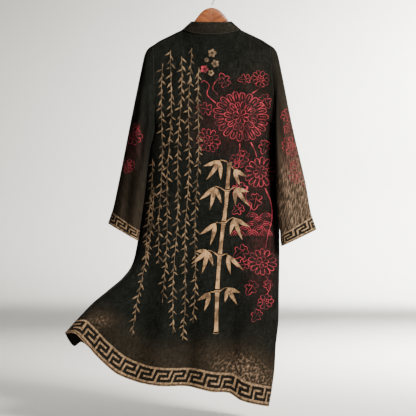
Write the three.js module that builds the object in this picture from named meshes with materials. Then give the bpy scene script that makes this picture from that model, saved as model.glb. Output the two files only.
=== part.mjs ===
// A long robe of kimono cut on a wooden clothes hanger. Millimetres, +Z up. The origin is the
// inside top of the hanger's hook, where the rail bears. The wearer's back faces +Y, the wearer's
// left is +X. The robe hangs open at the front, and its left hem is blown out and back.
import * as THREE from "three";

// ---------------------------------------------------------------- cloth and seams
const CLOTH = 1.4; // thickness of a panel's wall
const BAND_CLOTH = 1.0; // thickness of the woven fret bands
const COLLAR_CLOTH = 2.0; // the neckband is folded double
const SEAM_GAP = 0.4; // between pieces that are sewn to each other
const COLLAR_GAP = 0.9; // the same at the neckband, whose wall turns at its seam
const ARMHOLE_GAP = 0.7; // and at the armhole
const LAID_GAP = 0.3; // under a band that lies on a panel

// ---------------------------------------------------------------- shoulders and neck
const SHOULDER_HALF = 193; // centre to the armhole seam, level
const NECK_AT = Math.PI / 6; // column angle of the neck point, half of SHOULDER_HALF out
const NECK_HALF = SHOULDER_HALF * Math.sin(NECK_AT);
const NECK_DEEP = 42; // how far the back neck stands behind the hanger
const NECK_Z = -155; // the back neck seam at the centre
const NECK_RISE = 20; // from there up to the neck point
const NECK_POINT_Z = NECK_Z + NECK_RISE;
const NECK_HOLLOW = 2.5; // power of that rise: more keeps the middle flatter
const SHOULDER_LINE = [
  { at: NECK_HALF, z: NECK_POINT_Z },
  { at: 138, z: -155 },
  { at: 170, z: -171 },
  { at: SHOULDER_HALF, z: -186 },
];
const ARMPIT_Z = -452;
const ARMPIT_LEFT_X = 186;
const ARMPIT_RIGHT_X = -209;
const ARMHOLE_DEEP = 36; // half of the armhole's width, front to back
const ROUNDNESS = 0.9; // power on the sine: 1 is an ellipse, less is fuller
const ON_SHOULDER = 1; // a top seam point nearer the hanger's plane is on the shoulder

// ---------------------------------------------------------------- body, down the side seams
const ARMHOLE_SHARE = 0.22; // of a panel's length that lies above the armpit
const BAND_SHARE = 0.055; // of a panel's length that the hem band covers
// "tuck" moves the seam itself front (-) or back (+), "blow" the whole flank on that side.
const SIDE_LEFT = [
  { at: 0, x: ARMPIT_LEFT_X, tuck: 0, blow: 0, z: ARMPIT_Z },
  { at: 0.022, x: 188.5, tuck: -6, blow: 0, z: -470 },
  { at: 0.048, x: 194.5, tuck: -13, blow: 0, z: -490 },
  { at: 0.116, x: 211, tuck: -22, blow: 0, z: -545 },
  { at: 0.305, x: 228, tuck: -24, blow: 0, z: -690 },
  { at: 0.481, x: 244, tuck: -20, blow: 6, z: -829 },
  { at: 0.583, x: 260, tuck: -14, blow: 20, z: -905 },
  { at: 0.651, x: 288, tuck: -8, blow: 36, z: -948 },
  { at: 0.739, x: 336, tuck: -4, blow: 56, z: -990 },
  { at: 0.824, x: 384, tuck: 0, blow: 78, z: -1030 },
  { at: 0.905, x: 424, tuck: 0, blow: 100, z: -1072 },
  { at: 1, x: 472, tuck: 0, blow: 120, z: -1126 },
];
const SIDE_RIGHT = [
  { at: 0, x: ARMPIT_RIGHT_X, tuck: 0, blow: 0, z: ARMPIT_Z },
  { at: 0.022, x: -209.5, tuck: -6, blow: 0, z: -472 },
  { at: 0.046, x: -212.5, tuck: -13, blow: 0, z: -495 },
  { at: 0.1, x: -217, tuck: -21, blow: 0, z: -545 },
  { at: 0.257, x: -223, tuck: -25, blow: 0, z: -690 },
  { at: 0.43, x: -225, tuck: -20, blow: 0, z: -850 },
  { at: 0.59, x: -223, tuck: -16, blow: 0, z: -1000 },
  { at: 0.7, x: -221, tuck: -14, blow: 0, z: -1100 },
  { at: 0.78, x: -213, tuck: -15, blow: 0, z: -1175 },
  { at: 0.884, x: -207, tuck: -20, blow: 0, z: -1271 },
  { at: 1, x: -190, tuck: -25, blow: 0, z: -1379 },
];

// ---------------------------------------------------------------- hems, from edge to edge
const HEM_BACK = [
  { at: 0, x: -190, z: -1379 },
  { at: 0.055, x: -150, z: -1368 },
  { at: 0.133, x: -94, z: -1350 },
  { at: 0.192, x: -56, z: -1327 },
  { at: 0.265, x: -2, z: -1320 },
  { at: 0.365, x: 71, z: -1303 },
  { at: 0.462, x: 144, z: -1299 },
  { at: 0.518, x: 186, z: -1295 },
  { at: 0.603, x: 245, z: -1284 },
  { at: 0.695, x: 305, z: -1258 },
  { at: 0.792, x: 364, z: -1203 },
  { at: 0.85, x: 392, z: -1172 },
  { at: 0.905, x: 416, z: -1145 },
  { at: 0.955, x: 440, z: -1124 },
  { at: 1, x: 472, z: -1126 },
];
const HEM_FRONT_LEFT = [
  { at: 0, x: 150, z: -1288 },
  { at: 0.2, x: 215, z: -1276 },
  { at: 0.4, x: 288, z: -1250 },
  { at: 0.55, x: 342, z: -1226 },
  { at: 0.7, x: 390, z: -1194 },
  { at: 0.81, x: 426, z: -1162 },
  { at: 0.89, x: 448, z: -1173 },
  { at: 0.95, x: 463, z: -1152 },
  { at: 1, x: 472, z: -1126 },
];
const HEM_FRONT_RIGHT = [
  { at: 0, x: 5, z: -1304 },
  { at: 0.35, x: -62, z: -1322 },
  { at: 0.7, x: -134, z: -1350 },
  { at: 1, x: -190, z: -1379 },
];

// ---------------------------------------------------------------- front edges, at the neckband
const EDGE_LEFT = [
  { at: 0, x: NECK_HALF, z: NECK_POINT_Z },
  { at: 0.1, x: 78, z: -255 },
  { at: 0.2, x: 68, z: -380 },
  { at: 0.4, x: 64, z: -625 },
  { at: 0.6, x: 74, z: -858 },
  { at: 0.8, x: 102, z: -1080 },
  { at: 1, x: 150, z: -1288 },
];
const EDGE_RIGHT = [
  { at: 0, x: -NECK_HALF, z: NECK_POINT_Z },
  { at: 0.1, x: -78, z: -255 },
  { at: 0.2, x: -68, z: -380 },
  { at: 0.4, x: -62, z: -625 },
  { at: 0.6, x: -50, z: -860 },
  { at: 0.8, x: -28, z: -1084 },
  { at: 1, x: 5, z: -1304 },
];

// ---------------------------------------------------------------- how far the body stands out
const RIDGE = 10; // radius of the cloth over the hanger's arm
const SLOPE_FALL = 150; // the drop over which the chest reaches its depth
const NECK_FALL = 250; // the drop over which the neck's shape dies out
const DEPTH = [
  { at: 0, back: 42, front: 40 },
  { at: 0.22, back: 44, front: 42 },
  { at: 0.6, back: 56, front: 52 },
  { at: 1, back: 76, front: 74 },
];

// ---------------------------------------------------------------- main folds of the body
// Each runs from (x, z) to (toX, toZ), is 2 x half wide and stands "out" from the panel.
const FOLD_RISE = 0.4; // share of a fold's length over which it rises
const FOLD_DIE = 0.25; // and over which it dies out at its far end
const FOLDS_BACK = [
  { x: -124, z: -270, toX: -128, toZ: -620, half: 30, out: 6 },
  { x: -146, z: -640, toX: -118, toZ: -1500, half: 40, out: 16 },
  { x: -58, z: -960, toX: -62, toZ: -1500, half: 38, out: -17 },
  { x: 8, z: -760, toX: 6, toZ: -1500, half: 42, out: 12 },
  { x: 76, z: -960, toX: 92, toZ: -1500, half: 38, out: -14 },
  { x: 110, z: -760, toX: 196, toZ: -1500, half: 42, out: 16 },
  { x: 176, z: -860, toX: 300, toZ: -1400, half: 40, out: -16 },
  { x: 212, z: -860, toX: 400, toZ: -1300, half: 40, out: 14 },
];
const FOLDS_FRONT = [
  { x: 124, z: -260, toX: 128, toZ: -700, half: 26, out: 6 },
  { x: -126, z: -260, toX: -132, toZ: -700, half: 26, out: 6 },
  { x: 130, z: -760, toX: 214, toZ: -1500, half: 38, out: 16 },
  { x: 172, z: -860, toX: 306, toZ: -1440, half: 38, out: -16 },
  { x: 214, z: -860, toX: 396, toZ: -1330, half: 38, out: 16 },
  { x: -62, z: -700, toX: -30, toZ: -1500, half: 30, out: 18 },
  { x: -112, z: -760, toX: -88, toZ: -1500, half: 28, out: -22 },
  { x: -160, z: -700, toX: -144, toZ: -1500, half: 30, out: 18 },
];

// ---------------------------------------------------------------- sleeves
const CUFF_SHARE = 0.085; // of a sleeve's length that the cuff band covers
const UNDERARM_EASE = 1.6; // the sleeve stands off the body at the armpit
const SLEEVE_FOLDS_FROM = 0.2; // share of the sleeve over which its folds begin
const OUTER_LEFT = [
  { at: 0, x: 193, y: 0, z: -186 },
  { at: 0.035, x: 208, y: -1, z: -197 },
  { at: 0.075, x: 219, y: -2, z: -216 },
  { at: 0.16, x: 232, y: -4, z: -272 },
  { at: 0.44, x: 269, y: -8, z: -452 },
  { at: 0.72, x: 303, y: -8, z: -625 },
  { at: 0.9, x: 325, y: -6, z: -728 },
  { at: 1, x: 340, y: -4, z: -774 },
];
const INNER_LEFT = [
  { at: 0, x: 186, y: 0, z: -452 },
  { at: 0.05, x: 188.5, y: 15, z: -468 },
  { at: 0.1, x: 191, y: 26, z: -486 },
  { at: 0.22, x: 202, y: 34, z: -535 },
  { at: 0.65, x: 221, y: 34, z: -697 },
  { at: 1, x: 241, y: 34, z: -830 },
];
const OUTER_RIGHT = [
  { at: 0, x: -193, y: 0, z: -186 },
  { at: 0.035, x: -206, y: -1, z: -196 },
  { at: 0.075, x: -217, y: -2, z: -215 },
  { at: 0.16, x: -230, y: -4, z: -272 },
  { at: 0.44, x: -266, y: -8, z: -452 },
  { at: 0.72, x: -308, y: -8, z: -631 },
  { at: 0.9, x: -328, y: -6, z: -742 },
  { at: 1, x: -345, y: -4, z: -794 },
];
const INNER_RIGHT = [
  { at: 0, x: -209, y: 0, z: -452 },
  { at: 0.05, x: -209.5, y: 15, z: -468 },
  { at: 0.1, x: -208.5, y: 27, z: -486 },
  { at: 0.22, x: -208.5, y: 35, z: -540 },
  { at: 0.65, x: -214, y: 34, z: -705 },
  { at: 1, x: -229, y: 34, z: -848 },
];
const SLEEVE_DEPTH = [
  { at: 0, half: ARMHOLE_DEEP },
  { at: 0.35, half: 40 },
  { at: 1, half: 33 },
];
const FOLDS_SLEEVE = [
  { x: 222, z: -250, toX: 252, toZ: -560, half: 15, out: 7 },
  { x: 205, z: -300, toX: 240, toZ: -640, half: 13, out: -8 },
  { x: 250, z: -480, toX: 292, toZ: -840, half: 14, out: -6 },
  { x: 214, z: -520, toX: 268, toZ: -860, half: 13, out: 6 },
];

// ---------------------------------------------------------------- neckband
const COLLAR_WIDE = 40;
const COLLAR_UP = 42; // how high it stands at the back neck
const COLLAR_LEAN_IN = 6; // and how far its edge leans in there
const COLLAR_SIDE = { x: -30, y: 0, z: 27 }; // seam to edge, over the left shoulder
const COLLAR_TURN = 0.11; // share of the front edge over which it lies down flat
const FLAT_STEP = 0.05; // column angle over which the front's own slope is read

// ---------------------------------------------------------------- hanger
const ARM_SECTION = 14; // points round an arm
const ARM_CLEAR = 2.4; // arm below the middle of the cloth that it carries
const ARM_HALF = 5.6; // half of the wood's thickness
const HALVES_GAP = 0.15; // half of the glue line between the two arms
const HUMP = [
  { x: 0, top: -62, bottom: -124 },
  { x: 10, top: -63.4, bottom: -124 },
  { x: 21, top: -67.5, bottom: -123 },
  { x: 32, top: -75.5, bottom: -122 },
  { x: 42, top: -86, bottom: -123 },
  { x: 51, top: -98, bottom: -128 },
  { x: 59, top: -109, bottom: -134 },
  { x: 68, top: -117, bottom: -142 },
  { x: 82, top: -130, bottom: -154 },
];
const ARM_OUT = [
  { x: 96.5, deep: 25 },
  { x: 117, deep: 25 },
  { x: 138, deep: 25 },
  { x: 154, deep: 25 },
  { x: 170, deep: 24 },
  { x: 182, deep: 23 },
  { x: 193, deep: 20 },
];
const TIP = [
  { x: 200, top: -195, bottom: -212 },
  { x: 205, top: -201, bottom: -212.5 },
  { x: 208, top: -205.5, bottom: -211 },
];
const WIRE = 3.8; // hook wire
const WIRE_SIDES = 8;
const WIRE_STEPS = 36;
const WIRE_POINTS = 12; // points of the path round the hook
const HOOK_INNER = 19; // inside radius of the hook
const HOOK_STEM_Z = -61.6; // foot of the stem, on the wood
const HOOK_STRAIGHT = 8; // straight length of the stem
const HOOK_START = -1.15; // the arc's first angle, from the X axis
const HOOK_END = 3.25; // and its last

// ---------------------------------------------------------------- mesh density
const BACK_COLUMNS = 36;
const NECK_COLUMNS = Math.round((BACK_COLUMNS * 2 * NECK_AT) / Math.PI);
const FRONT_COLUMNS = (BACK_COLUMNS - NECK_COLUMNS) / 2;
const ARMHOLE_ROWS = 10;
const SIDE_ROWS = 18;
const BAND_ROWS = 2;
const SLEEVE_ROWS = 16;
const SLEEVE_CROWD = 1.15; // power that crowds its rows towards the armhole

// ---------------------------------------------------------------- numbers
const lerp = (a, b, t) => a + (b - a) * t;
const clamp01 = (t) => Math.min(1, Math.max(0, t));
const smooth = (t) => clamp01(t) ** 2 * (3 - 2 * clamp01(t));

/** The value of one column of a table at t, on a smooth curve through its rows. */
function follow(rows, column, t) {
  const last = rows.length - 1;
  let i = 0;
  while (i < last - 1 && t > rows[i + 1].at) i += 1;
  const slope = (j) => {
    const a = rows[Math.max(0, j - 1)];
    const b = rows[Math.min(last, j + 1)];
    return (b[column] - a[column]) / (b.at - a.at);
  };
  const span = rows[i + 1].at - rows[i].at;
  const f = clamp01((t - rows[i].at) / span);
  const turn = (3 - 2 * f) * f * f;
  const out = f * (1 - f) * (1 - f) * span * slope(i);
  const back = f * f * (f - 1) * span * slope(i + 1);
  return lerp(rows[i][column], rows[i + 1][column], turn) + out + back;
}

/** A soft ridge or trough at (x, z), summed over a table of folds. */
function folded(folds, x, z) {
  let sum = 0;
  for (const fold of folds) {
    const alongX = fold.toX - fold.x;
    const alongZ = fold.toZ - fold.z;
    const length = Math.hypot(alongX, alongZ);
    const t = ((x - fold.x) * alongX + (z - fold.z) * alongZ) / length ** 2;
    const off = ((x - fold.x) * alongZ - (z - fold.z) * alongX) / length / fold.half;
    const ends = smooth(t / FOLD_RISE) * smooth((1 - t) / FOLD_DIE);
    sum += fold.out * ends * Math.exp(-off * off);
  }
  return sum;
}

// ---------------------------------------------------------------- seams
/** The shoulder and back neck seam at column angle phi: -90 degrees right, 90 degrees left. */
function topSeam(phi) {
  const x = SHOULDER_HALF * Math.sin(phi);
  const share = Math.abs(x) / NECK_HALF;
  if (share >= 1) return { x, y: 0, z: follow(SHOULDER_LINE, "z", Math.abs(x)) };
  const y = NECK_DEEP * Math.sqrt(1 - share * share);
  return { x, y, z: NECK_Z + NECK_RISE * share ** NECK_HOLLOW };
}

/** The armhole and side seam of one side, at share v of the way from shoulder to hem. */
function sideSeam(side, v) {
  const rows = side > 0 ? SIDE_LEFT : SIDE_RIGHT;
  if (v >= ARMHOLE_SHARE) {
    const t = (v - ARMHOLE_SHARE) / (1 - ARMHOLE_SHARE);
    const at = (column) => follow(rows, column, t);
    return { x: at("x"), z: at("z"), tuck: at("tuck"), blow: at("blow"), open: 0 };
  }
  const t = v / ARMHOLE_SHARE;
  const tip = topSeam((side * Math.PI) / 2);
  const turn = Math.acos(1 - 2 * t);
  const open = ARMHOLE_DEEP * Math.sin(turn) ** ROUNDNESS;
  const [x, z] = [lerp(tip.x, rows[0].x, t), lerp(tip.z, rows[0].z, t)];
  return { x, z, tuck: 0, blow: 0, open };
}

/** Between four seams: top and hem at s across, near and far edges at v down. */
function between(top, hem, near, far, corners, s, v, axis) {
  const down = lerp(top[axis], hem[axis], v);
  const across = lerp(near[axis], far[axis], s);
  const upper = lerp(corners.nearTop[axis], corners.farTop[axis], s);
  const lower = lerp(corners.nearHem[axis], corners.farHem[axis], s);
  return down + across - lerp(upper, lower, v);
}

/** How far a panel stands out from the hanger's plane, a drop below its top seam. */
function standOut(column, drop, v, topY) {
  const h = Math.max(0, drop);
  const over = RIDGE * Math.sin(Math.min(1, h / RIDGE) * (Math.PI / 2));
  const chest = over + follow(DEPTH, column, v) * (1 - Math.exp(-h / SLOPE_FALL));
  const neck = topY * Math.exp(-h / NECK_FALL);
  return Math.cbrt(chest ** 3 + neck ** 3);
}

// ---------------------------------------------------------------- panels
const RIGHT = -1;
const LEFT = 1;
const BACK_CORNERS = {
  nearTop: sideSeam(RIGHT, 0),
  farTop: sideSeam(LEFT, 0),
  nearHem: sideSeam(RIGHT, 1),
  farHem: sideSeam(LEFT, 1),
};

/** A point of the back at column angle phi and share v down. */
function backPoint(phi, v) {
  const s = (Math.sin(phi) + 1) / 2;
  const top = topSeam(phi);
  const hem = { x: follow(HEM_BACK, "x", s), z: follow(HEM_BACK, "z", s) };
  const near = sideSeam(RIGHT, v);
  const far = sideSeam(LEFT, v);
  const x = between(top, hem, near, far, BACK_CORNERS, s, v, "x");
  const z = between(top, hem, near, far, BACK_CORNERS, s, v, "z");
  const round = Math.max(0, Math.cos(phi)) ** ROUNDNESS;
  const seam = lerp(near.tuck + near.open, far.tuck + far.open, s);
  const deep = standOut("back", top.z - z, v, top.y);
  const y = far.blow * s ** 3 + lerp(seam, deep, round);
  const soft = round * folded(FOLDS_BACK, x, z);
  return new THREE.Vector3(x, y + soft + SEAM_GAP / 2, z);
}

/** A point of one front at column angle phi, neck point to side, and share v down. */
function frontPoint(side, phi, v) {
  const t = clamp01((Math.sin(phi) - Math.sin(NECK_AT)) / (1 - Math.sin(NECK_AT)));
  const hemRows = side > 0 ? HEM_FRONT_LEFT : HEM_FRONT_RIGHT;
  const edgeRows = side > 0 ? EDGE_LEFT : EDGE_RIGHT;
  const edge = (w) => ({ x: follow(edgeRows, "x", w), z: follow(edgeRows, "z", w) });
  const shoulder = SHOULDER_HALF * Math.sin(phi);
  const top = { x: side * shoulder, z: follow(SHOULDER_LINE, "z", shoulder) };
  const hem = { x: follow(hemRows, "x", t), z: follow(hemRows, "z", t) };
  const near = edge(v);
  const far = sideSeam(side, v);
  const corners = {
    nearTop: edge(0),
    farTop: sideSeam(side, 0),
    nearHem: edge(1),
    farHem: sideSeam(side, 1),
  };
  const x = between(top, hem, near, far, corners, t, v, "x");
  const z = between(top, hem, near, far, corners, t, v, "z");
  const round = Math.sqrt(Math.max(0, 1 - t * t)) ** ROUNDNESS;
  const deep = standOut("front", top.z - z, v, 0);
  const blow = sideSeam(LEFT, v).blow * ((side * t + 1) / 2) ** 3;
  const y = blow - lerp(far.open - far.tuck, deep, round);
  const soft = round * folded(FOLDS_FRONT, x, z);
  return new THREE.Vector3(x, y - soft - SEAM_GAP / 2, z);
}

/** A point of one sleeve, share s from armhole to cuff, theta round from the shoulder. */
function sleevePoint(side, s, theta) {
  const outer = side > 0 ? OUTER_LEFT : OUTER_RIGHT;
  const inner = side > 0 ? INNER_LEFT : INNER_RIGHT;
  const w = (1 + Math.cos(theta)) / 2;
  const at = (axis) => lerp(follow(inner, axis, s), follow(outer, axis, s), w);
  const round = Math.abs(Math.sin(theta)) ** ROUNDNESS * Math.sign(Math.sin(theta));
  const x = at("x") + side * (ARMHOLE_GAP + UNDERARM_EASE * (1 - w) ** 3);
  const z = at("z");
  const soft = folded(FOLDS_SLEEVE, Math.abs(x), z) * smooth(s / SLEEVE_FOLDS_FROM);
  const y = at("y") + round * (follow(SLEEVE_DEPTH, "half", s) + soft);
  return new THREE.Vector3(x, y, z);
}

/** A point across the neckband at one station, w from its seam to its free edge. */
function collarPoint({ seam, lean, wide }, w) {
  return seam.clone().addScaledVector(lean, lerp(COLLAR_GAP, wide, w));
}

// ---------------------------------------------------------------- rows and columns
function bodyRows() {
  const rows = [];
  for (let k = 0; k < ARMHOLE_ROWS; k += 1) {
    rows.push((ARMHOLE_SHARE * (1 - Math.cos((Math.PI * k) / ARMHOLE_ROWS))) / 2);
  }
  for (let k = 0; k < SIDE_ROWS; k += 1) {
    rows.push(lerp(ARMHOLE_SHARE, 1 - BAND_SHARE, k / SIDE_ROWS));
  }
  for (let k = 0; k <= BAND_ROWS; k += 1) {
    rows.push(1 - BAND_SHARE * (1 - k / BAND_ROWS));
  }
  return rows;
}

function sleeveRows() {
  const rows = [];
  for (let k = 0; k < SLEEVE_ROWS; k += 1) {
    rows.push((1 - CUFF_SHARE) * (k / SLEEVE_ROWS) ** SLEEVE_CROWD);
  }
  for (let k = 0; k <= BAND_ROWS; k += 1) rows.push(1 - CUFF_SHARE * (1 - k / BAND_ROWS));
  return rows;
}

const spread = (from, to, count) =>
  Array.from({ length: count + 1 }, (_, i) => lerp(from, to, i / count));

// ---------------------------------------------------------------- walls
/** Unit normals of a grid of points, from the cells round each; wrap joins the columns' ends. */
function gridNormals(grid, wrap) {
  const rows = grid.length;
  const columns = grid[0].length;
  const column = (j) => (wrap ? (j + columns) % columns : Math.min(columns - 1, Math.max(0, j)));
  const row = (i) => Math.min(rows - 1, Math.max(0, i));
  const step = (i, j, di, dj) =>
    grid[row(i + di)][column(j + dj)].clone().sub(grid[row(i - di)][column(j - dj)]);
  return grid.map((line, i) =>
    line.map((_, j) => step(i, j, 0, 1).cross(step(i, j, 1, 0)).normalize()),
  );
}

/** Takes one axis out of the normals along a seam, so that the wall ends square to it. */
function squareEnd(normal, axis) {
  normal[axis] = 0;
  normal.normalize();
}

/** A closed wall on a grid of points: thick through, its middle "out" from the points. */
function wall(grid, normals, thick, out, wrap) {
  const rows = grid.length;
  const columns = grid[0].length;
  const spots = [];
  const triangles = [];
  for (const level of [out + thick / 2, out - thick / 2]) {
    grid.forEach((line, i) =>
      line.forEach((p, j) => spots.push(...p.clone().addScaledVector(normals[i][j], level))),
    );
  }
  const inner = rows * columns;
  const at = (i, j) => i * columns + (j % columns);
  const quad = (a, b, c, d) => triangles.push(a, b, c, a, c, d);
  const cells = wrap ? columns : columns - 1;
  for (let i = 0; i < rows - 1; i += 1) {
    for (let j = 0; j < cells; j += 1) {
      quad(at(i, j), at(i + 1, j), at(i + 1, j + 1), at(i, j + 1));
      const [a, b, c, d] = [at(i, j), at(i, j + 1), at(i + 1, j + 1), at(i + 1, j)];
      triangles.push(inner + a, inner + b, inner + c, inner + a, inner + c, inner + d);
    }
  }
  for (let j = 0; j < cells; j += 1) {
    quad(at(0, j), at(0, j + 1), inner + at(0, j + 1), inner + at(0, j));
    const low = rows - 1;
    quad(at(low, j + 1), at(low, j), inner + at(low, j), inner + at(low, j + 1));
  }
  for (let i = 0; i < rows - 1 && !wrap; i += 1) {
    quad(at(i + 1, 0), at(i, 0), inner + at(i, 0), inner + at(i + 1, 0));
    const end = columns - 1;
    quad(at(i, end), at(i + 1, end), inner + at(i + 1, end), inner + at(i, end));
  }
  return solid(spots, triangles);
}

/** A geometry of spots and triangles, turned so that its faces point out. */
function solid(spots, triangles) {
  let volume = 0;
  const corner = (k) => new THREE.Vector3().fromArray(spots, triangles[k] * 3);
  for (let k = 0; k < triangles.length; k += 3) {
    volume += corner(k).dot(corner(k + 1).cross(corner(k + 2)));
  }
  const turned = volume < 0 ? triangles.slice().reverse() : triangles;
  const geometry = new THREE.BufferGeometry();
  geometry.setAttribute("position", new THREE.Float32BufferAttribute(spots, 3));
  geometry.setIndex(turned);
  return geometry;
}

// ---------------------------------------------------------------- pieces
/** Grid and normals of a body panel, whose columns run from near seam to far seam. */
function panel(pointAt, angles, armholeEnds, sideEnds) {
  const shares = bodyRows();
  const grid = shares.map((v) => angles.map((phi) => pointAt(phi, v)));
  const normals = gridNormals(grid, false);
  normals[0].forEach((normal, j) => {
    if (Math.abs(grid[0][j].y) < ON_SHOULDER) squareEnd(normal, "y");
  });
  for (const end of armholeEnds) {
    for (let i = 1; i < ARMHOLE_ROWS; i += 1) squareEnd(normals[i].at(end), "x");
  }
  for (const end of sideEnds) {
    for (let i = ARMHOLE_ROWS; i < shares.length; i += 1) squareEnd(normals[i].at(end), "y");
  }
  return { grid, normals };
}

function backPanel() {
  return panel(backPoint, spread(-Math.PI / 2, Math.PI / 2, BACK_COLUMNS), [0, -1], [0, -1]);
}

function frontPanel(side) {
  const angles = spread(NECK_AT, Math.PI / 2, FRONT_COLUMNS);
  return panel((phi, v) => frontPoint(side, phi, v), angles, [-1], [-1]);
}

/** Grid and normals of a sleeve: its first row meets the armhole, row by row of the body. */
function sleeveTube(side) {
  const around = spread(0, 2 * Math.PI, 2 * ARMHOLE_ROWS).slice(0, -1);
  const grid = sleeveRows().map((s) => around.map((theta) => sleevePoint(side, s, theta)));
  const normals = gridNormals(grid, true);
  normals[0].forEach((normal) => squareEnd(normal, "x"));
  return { grid, normals };
}

/** The neckband: up the left front edge, round the back neck and down the right front edge. */
function collarStrip() {
  const stations = [];
  const shares = bodyRows();
  const lie = (side, v) => {
    const upright = new THREE.Vector3(side * COLLAR_SIDE.x, COLLAR_SIDE.y, COLLAR_SIDE.z);
    const flat = frontPoint(side, NECK_AT, v).sub(frontPoint(side, NECK_AT + FLAT_STEP, v));
    return upright.normalize().lerp(flat.normalize(), smooth(v / COLLAR_TURN)).normalize();
  };
  for (const v of shares.slice(1).reverse()) {
    stations.push({ seam: frontPoint(LEFT, NECK_AT, v), lean: lie(LEFT, v), wide: COLLAR_WIDE });
  }
  for (const phi of spread(NECK_AT, -NECK_AT, NECK_COLUMNS)) {
    const seam = topSeam(phi);
    const share = seam.x / NECK_HALF;
    const inward = COLLAR_LEAN_IN * (Math.abs(share) - 1);
    const up = lerp(COLLAR_UP, COLLAR_SIDE.z, share * share);
    const lean = new THREE.Vector3(share * COLLAR_SIDE.x, inward, up);
    const wide = lean.length();
    stations.push({ seam: new THREE.Vector3(seam.x, seam.y, seam.z), lean: lean.normalize(), wide });
  }
  for (const v of shares.slice(1)) {
    stations.push({ seam: frontPoint(RIGHT, NECK_AT, v), lean: lie(RIGHT, v), wide: COLLAR_WIDE });
  }
  const grid = [0, 0.5, 1].map((w) => stations.map((station) => collarPoint(station, w)));
  return { grid, normals: gridNormals(grid, false) };
}

/** The last rows of a panel or sleeve, for the band that is sewn round its edge. */
function edgeRows({ grid, normals }) {
  return { grid: grid.slice(-BAND_ROWS - 1), normals: normals.slice(-BAND_ROWS - 1) };
}

const bandOut = CLOTH / 2 + LAID_GAP + BAND_CLOTH / 2;

/** +1 if the normals of a piece point away from the line down the middle of it. */
function facing({ grid, normals }) {
  const middle = new THREE.Vector3();
  grid.flat().forEach((p) => middle.add(p));
  middle.divideScalar(grid.flat().length);
  let sum = 0;
  grid.forEach((line, i) => line.forEach((p, j) => {
    sum += normals[i][j].dot(p.clone().sub(middle));
  }));
  return Math.sign(sum);
}

// ---------------------------------------------------------------- hanger
/** One arm of the hanger: rounded sections from the glue line to the tip. */
function hangerArm(side) {
  const carried = ARM_OUT.map(({ x, deep }) => {
    const top = follow(SHOULDER_LINE, "z", x) - ARM_CLEAR;
    return { x, top, bottom: top - deep };
  });
  const stations = [...HUMP, ...carried, ...TIP];
  const spots = [];
  const triangles = [];
  for (const { x, top, bottom } of stations) {
    const middle = (top + bottom) / 2;
    const half = (top - bottom) / 2;
    for (let k = 0; k < ARM_SECTION; k += 1) {
      const turn = (2 * Math.PI * (k + 0.5)) / ARM_SECTION;
      const y = ARM_HALF * Math.sin(turn);
      const z = middle + (half * Math.cos(turn)) / Math.cos(Math.PI / ARM_SECTION);
      spots.push(side * (x + HALVES_GAP), y, z);
    }
  }
  const last = (stations.length - 1) * ARM_SECTION;
  for (let i = 0; i < stations.length - 1; i += 1) {
    for (let k = 0; k < ARM_SECTION; k += 1) {
      const a = i * ARM_SECTION + k;
      const b = i * ARM_SECTION + ((k + 1) % ARM_SECTION);
      triangles.push(a, b, b + ARM_SECTION, a, b + ARM_SECTION, a + ARM_SECTION);
    }
  }
  for (let k = 1; k < ARM_SECTION - 1; k += 1) {
    triangles.push(0, k + 1, k, last, last + k, last + k + 1);
  }
  return solid(spots, triangles);
}

/** The hook: a straight stem that turns out, over the rail and down to a short nose. */
function hook() {
  const radius = HOOK_INNER + WIRE / 2;
  const path = [new THREE.Vector3(0, 0, HOOK_STEM_Z)];
  path.push(new THREE.Vector3(0, 0, HOOK_STEM_Z + HOOK_STRAIGHT));
  for (const turn of spread(HOOK_START, HOOK_END, WIRE_POINTS)) {
    path.push(new THREE.Vector3(-radius * Math.cos(turn), 0, radius * Math.sin(turn) - HOOK_INNER));
  }
  const section = new THREE.Shape();
  for (let k = 0; k < WIRE_SIDES; k += 1) {
    const turn = (2 * Math.PI * k) / WIRE_SIDES;
    const at = [(Math.cos(turn) * WIRE) / 2, (Math.sin(turn) * WIRE) / 2];
    if (k === 0) section.moveTo(...at);
    else section.lineTo(...at);
  }
  section.closePath();
  const curve = new THREE.CatmullRomCurve3(path);
  return new THREE.ExtrudeGeometry(section, { steps: WIRE_STEPS, extrudePath: curve, bevelEnabled: false });
}

// ---------------------------------------------------------------- the robe
const LINEN = { color: 0x24221e, roughness: 0.92, metalness: 0 };
const FADED = { color: 0x3a2e24, roughness: 0.94, metalness: 0 };
const FRET = { color: 0x8c765c, roughness: 0.88, metalness: 0 };
const WOOD = { color: 0xb27c4e, roughness: 0.45, metalness: 0 };
const STEEL = { color: 0xb9b9b6, roughness: 0.25, metalness: 1 };

const robe = new THREE.Group();

function add(name, geometry, finish) {
  const mesh = new THREE.Mesh(geometry, new THREE.MeshStandardMaterial(finish));
  mesh.name = name;
  robe.add(mesh);
}

function addPanel(name, made, finish, wrap = false) {
  add(name, wall(made.grid, made.normals, CLOTH, 0, wrap), finish);
}

function addBand(name, made, wrap = false) {
  const rows = edgeRows(made);
  const out = facing(made) * bandOut;
  add(name, wall(rows.grid, rows.normals, BAND_CLOTH, out, wrap), FRET);
}

const back = backPanel();
addPanel("back", back, LINEN);
addBand("hem_band_back", back);
for (const [word, side] of [["left", LEFT], ["right", RIGHT]]) {
  const front = frontPanel(side);
  addPanel(`front_${word}`, front, LINEN);
  addBand(`hem_band_front_${word}`, front);
  const sleeve = sleeveTube(side);
  addPanel(`sleeve_${word}`, sleeve, FADED, true);
  addBand(`cuff_band_${word}`, sleeve, true);
  add(`hanger_arm_${word}`, hangerArm(side), WOOD);
}
const collar = collarStrip();
add("collar", wall(collar.grid, collar.normals, COLLAR_CLOTH, 0, false), LINEN);
add("hanger_hook", hook(), STEEL);

export default robe;
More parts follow.
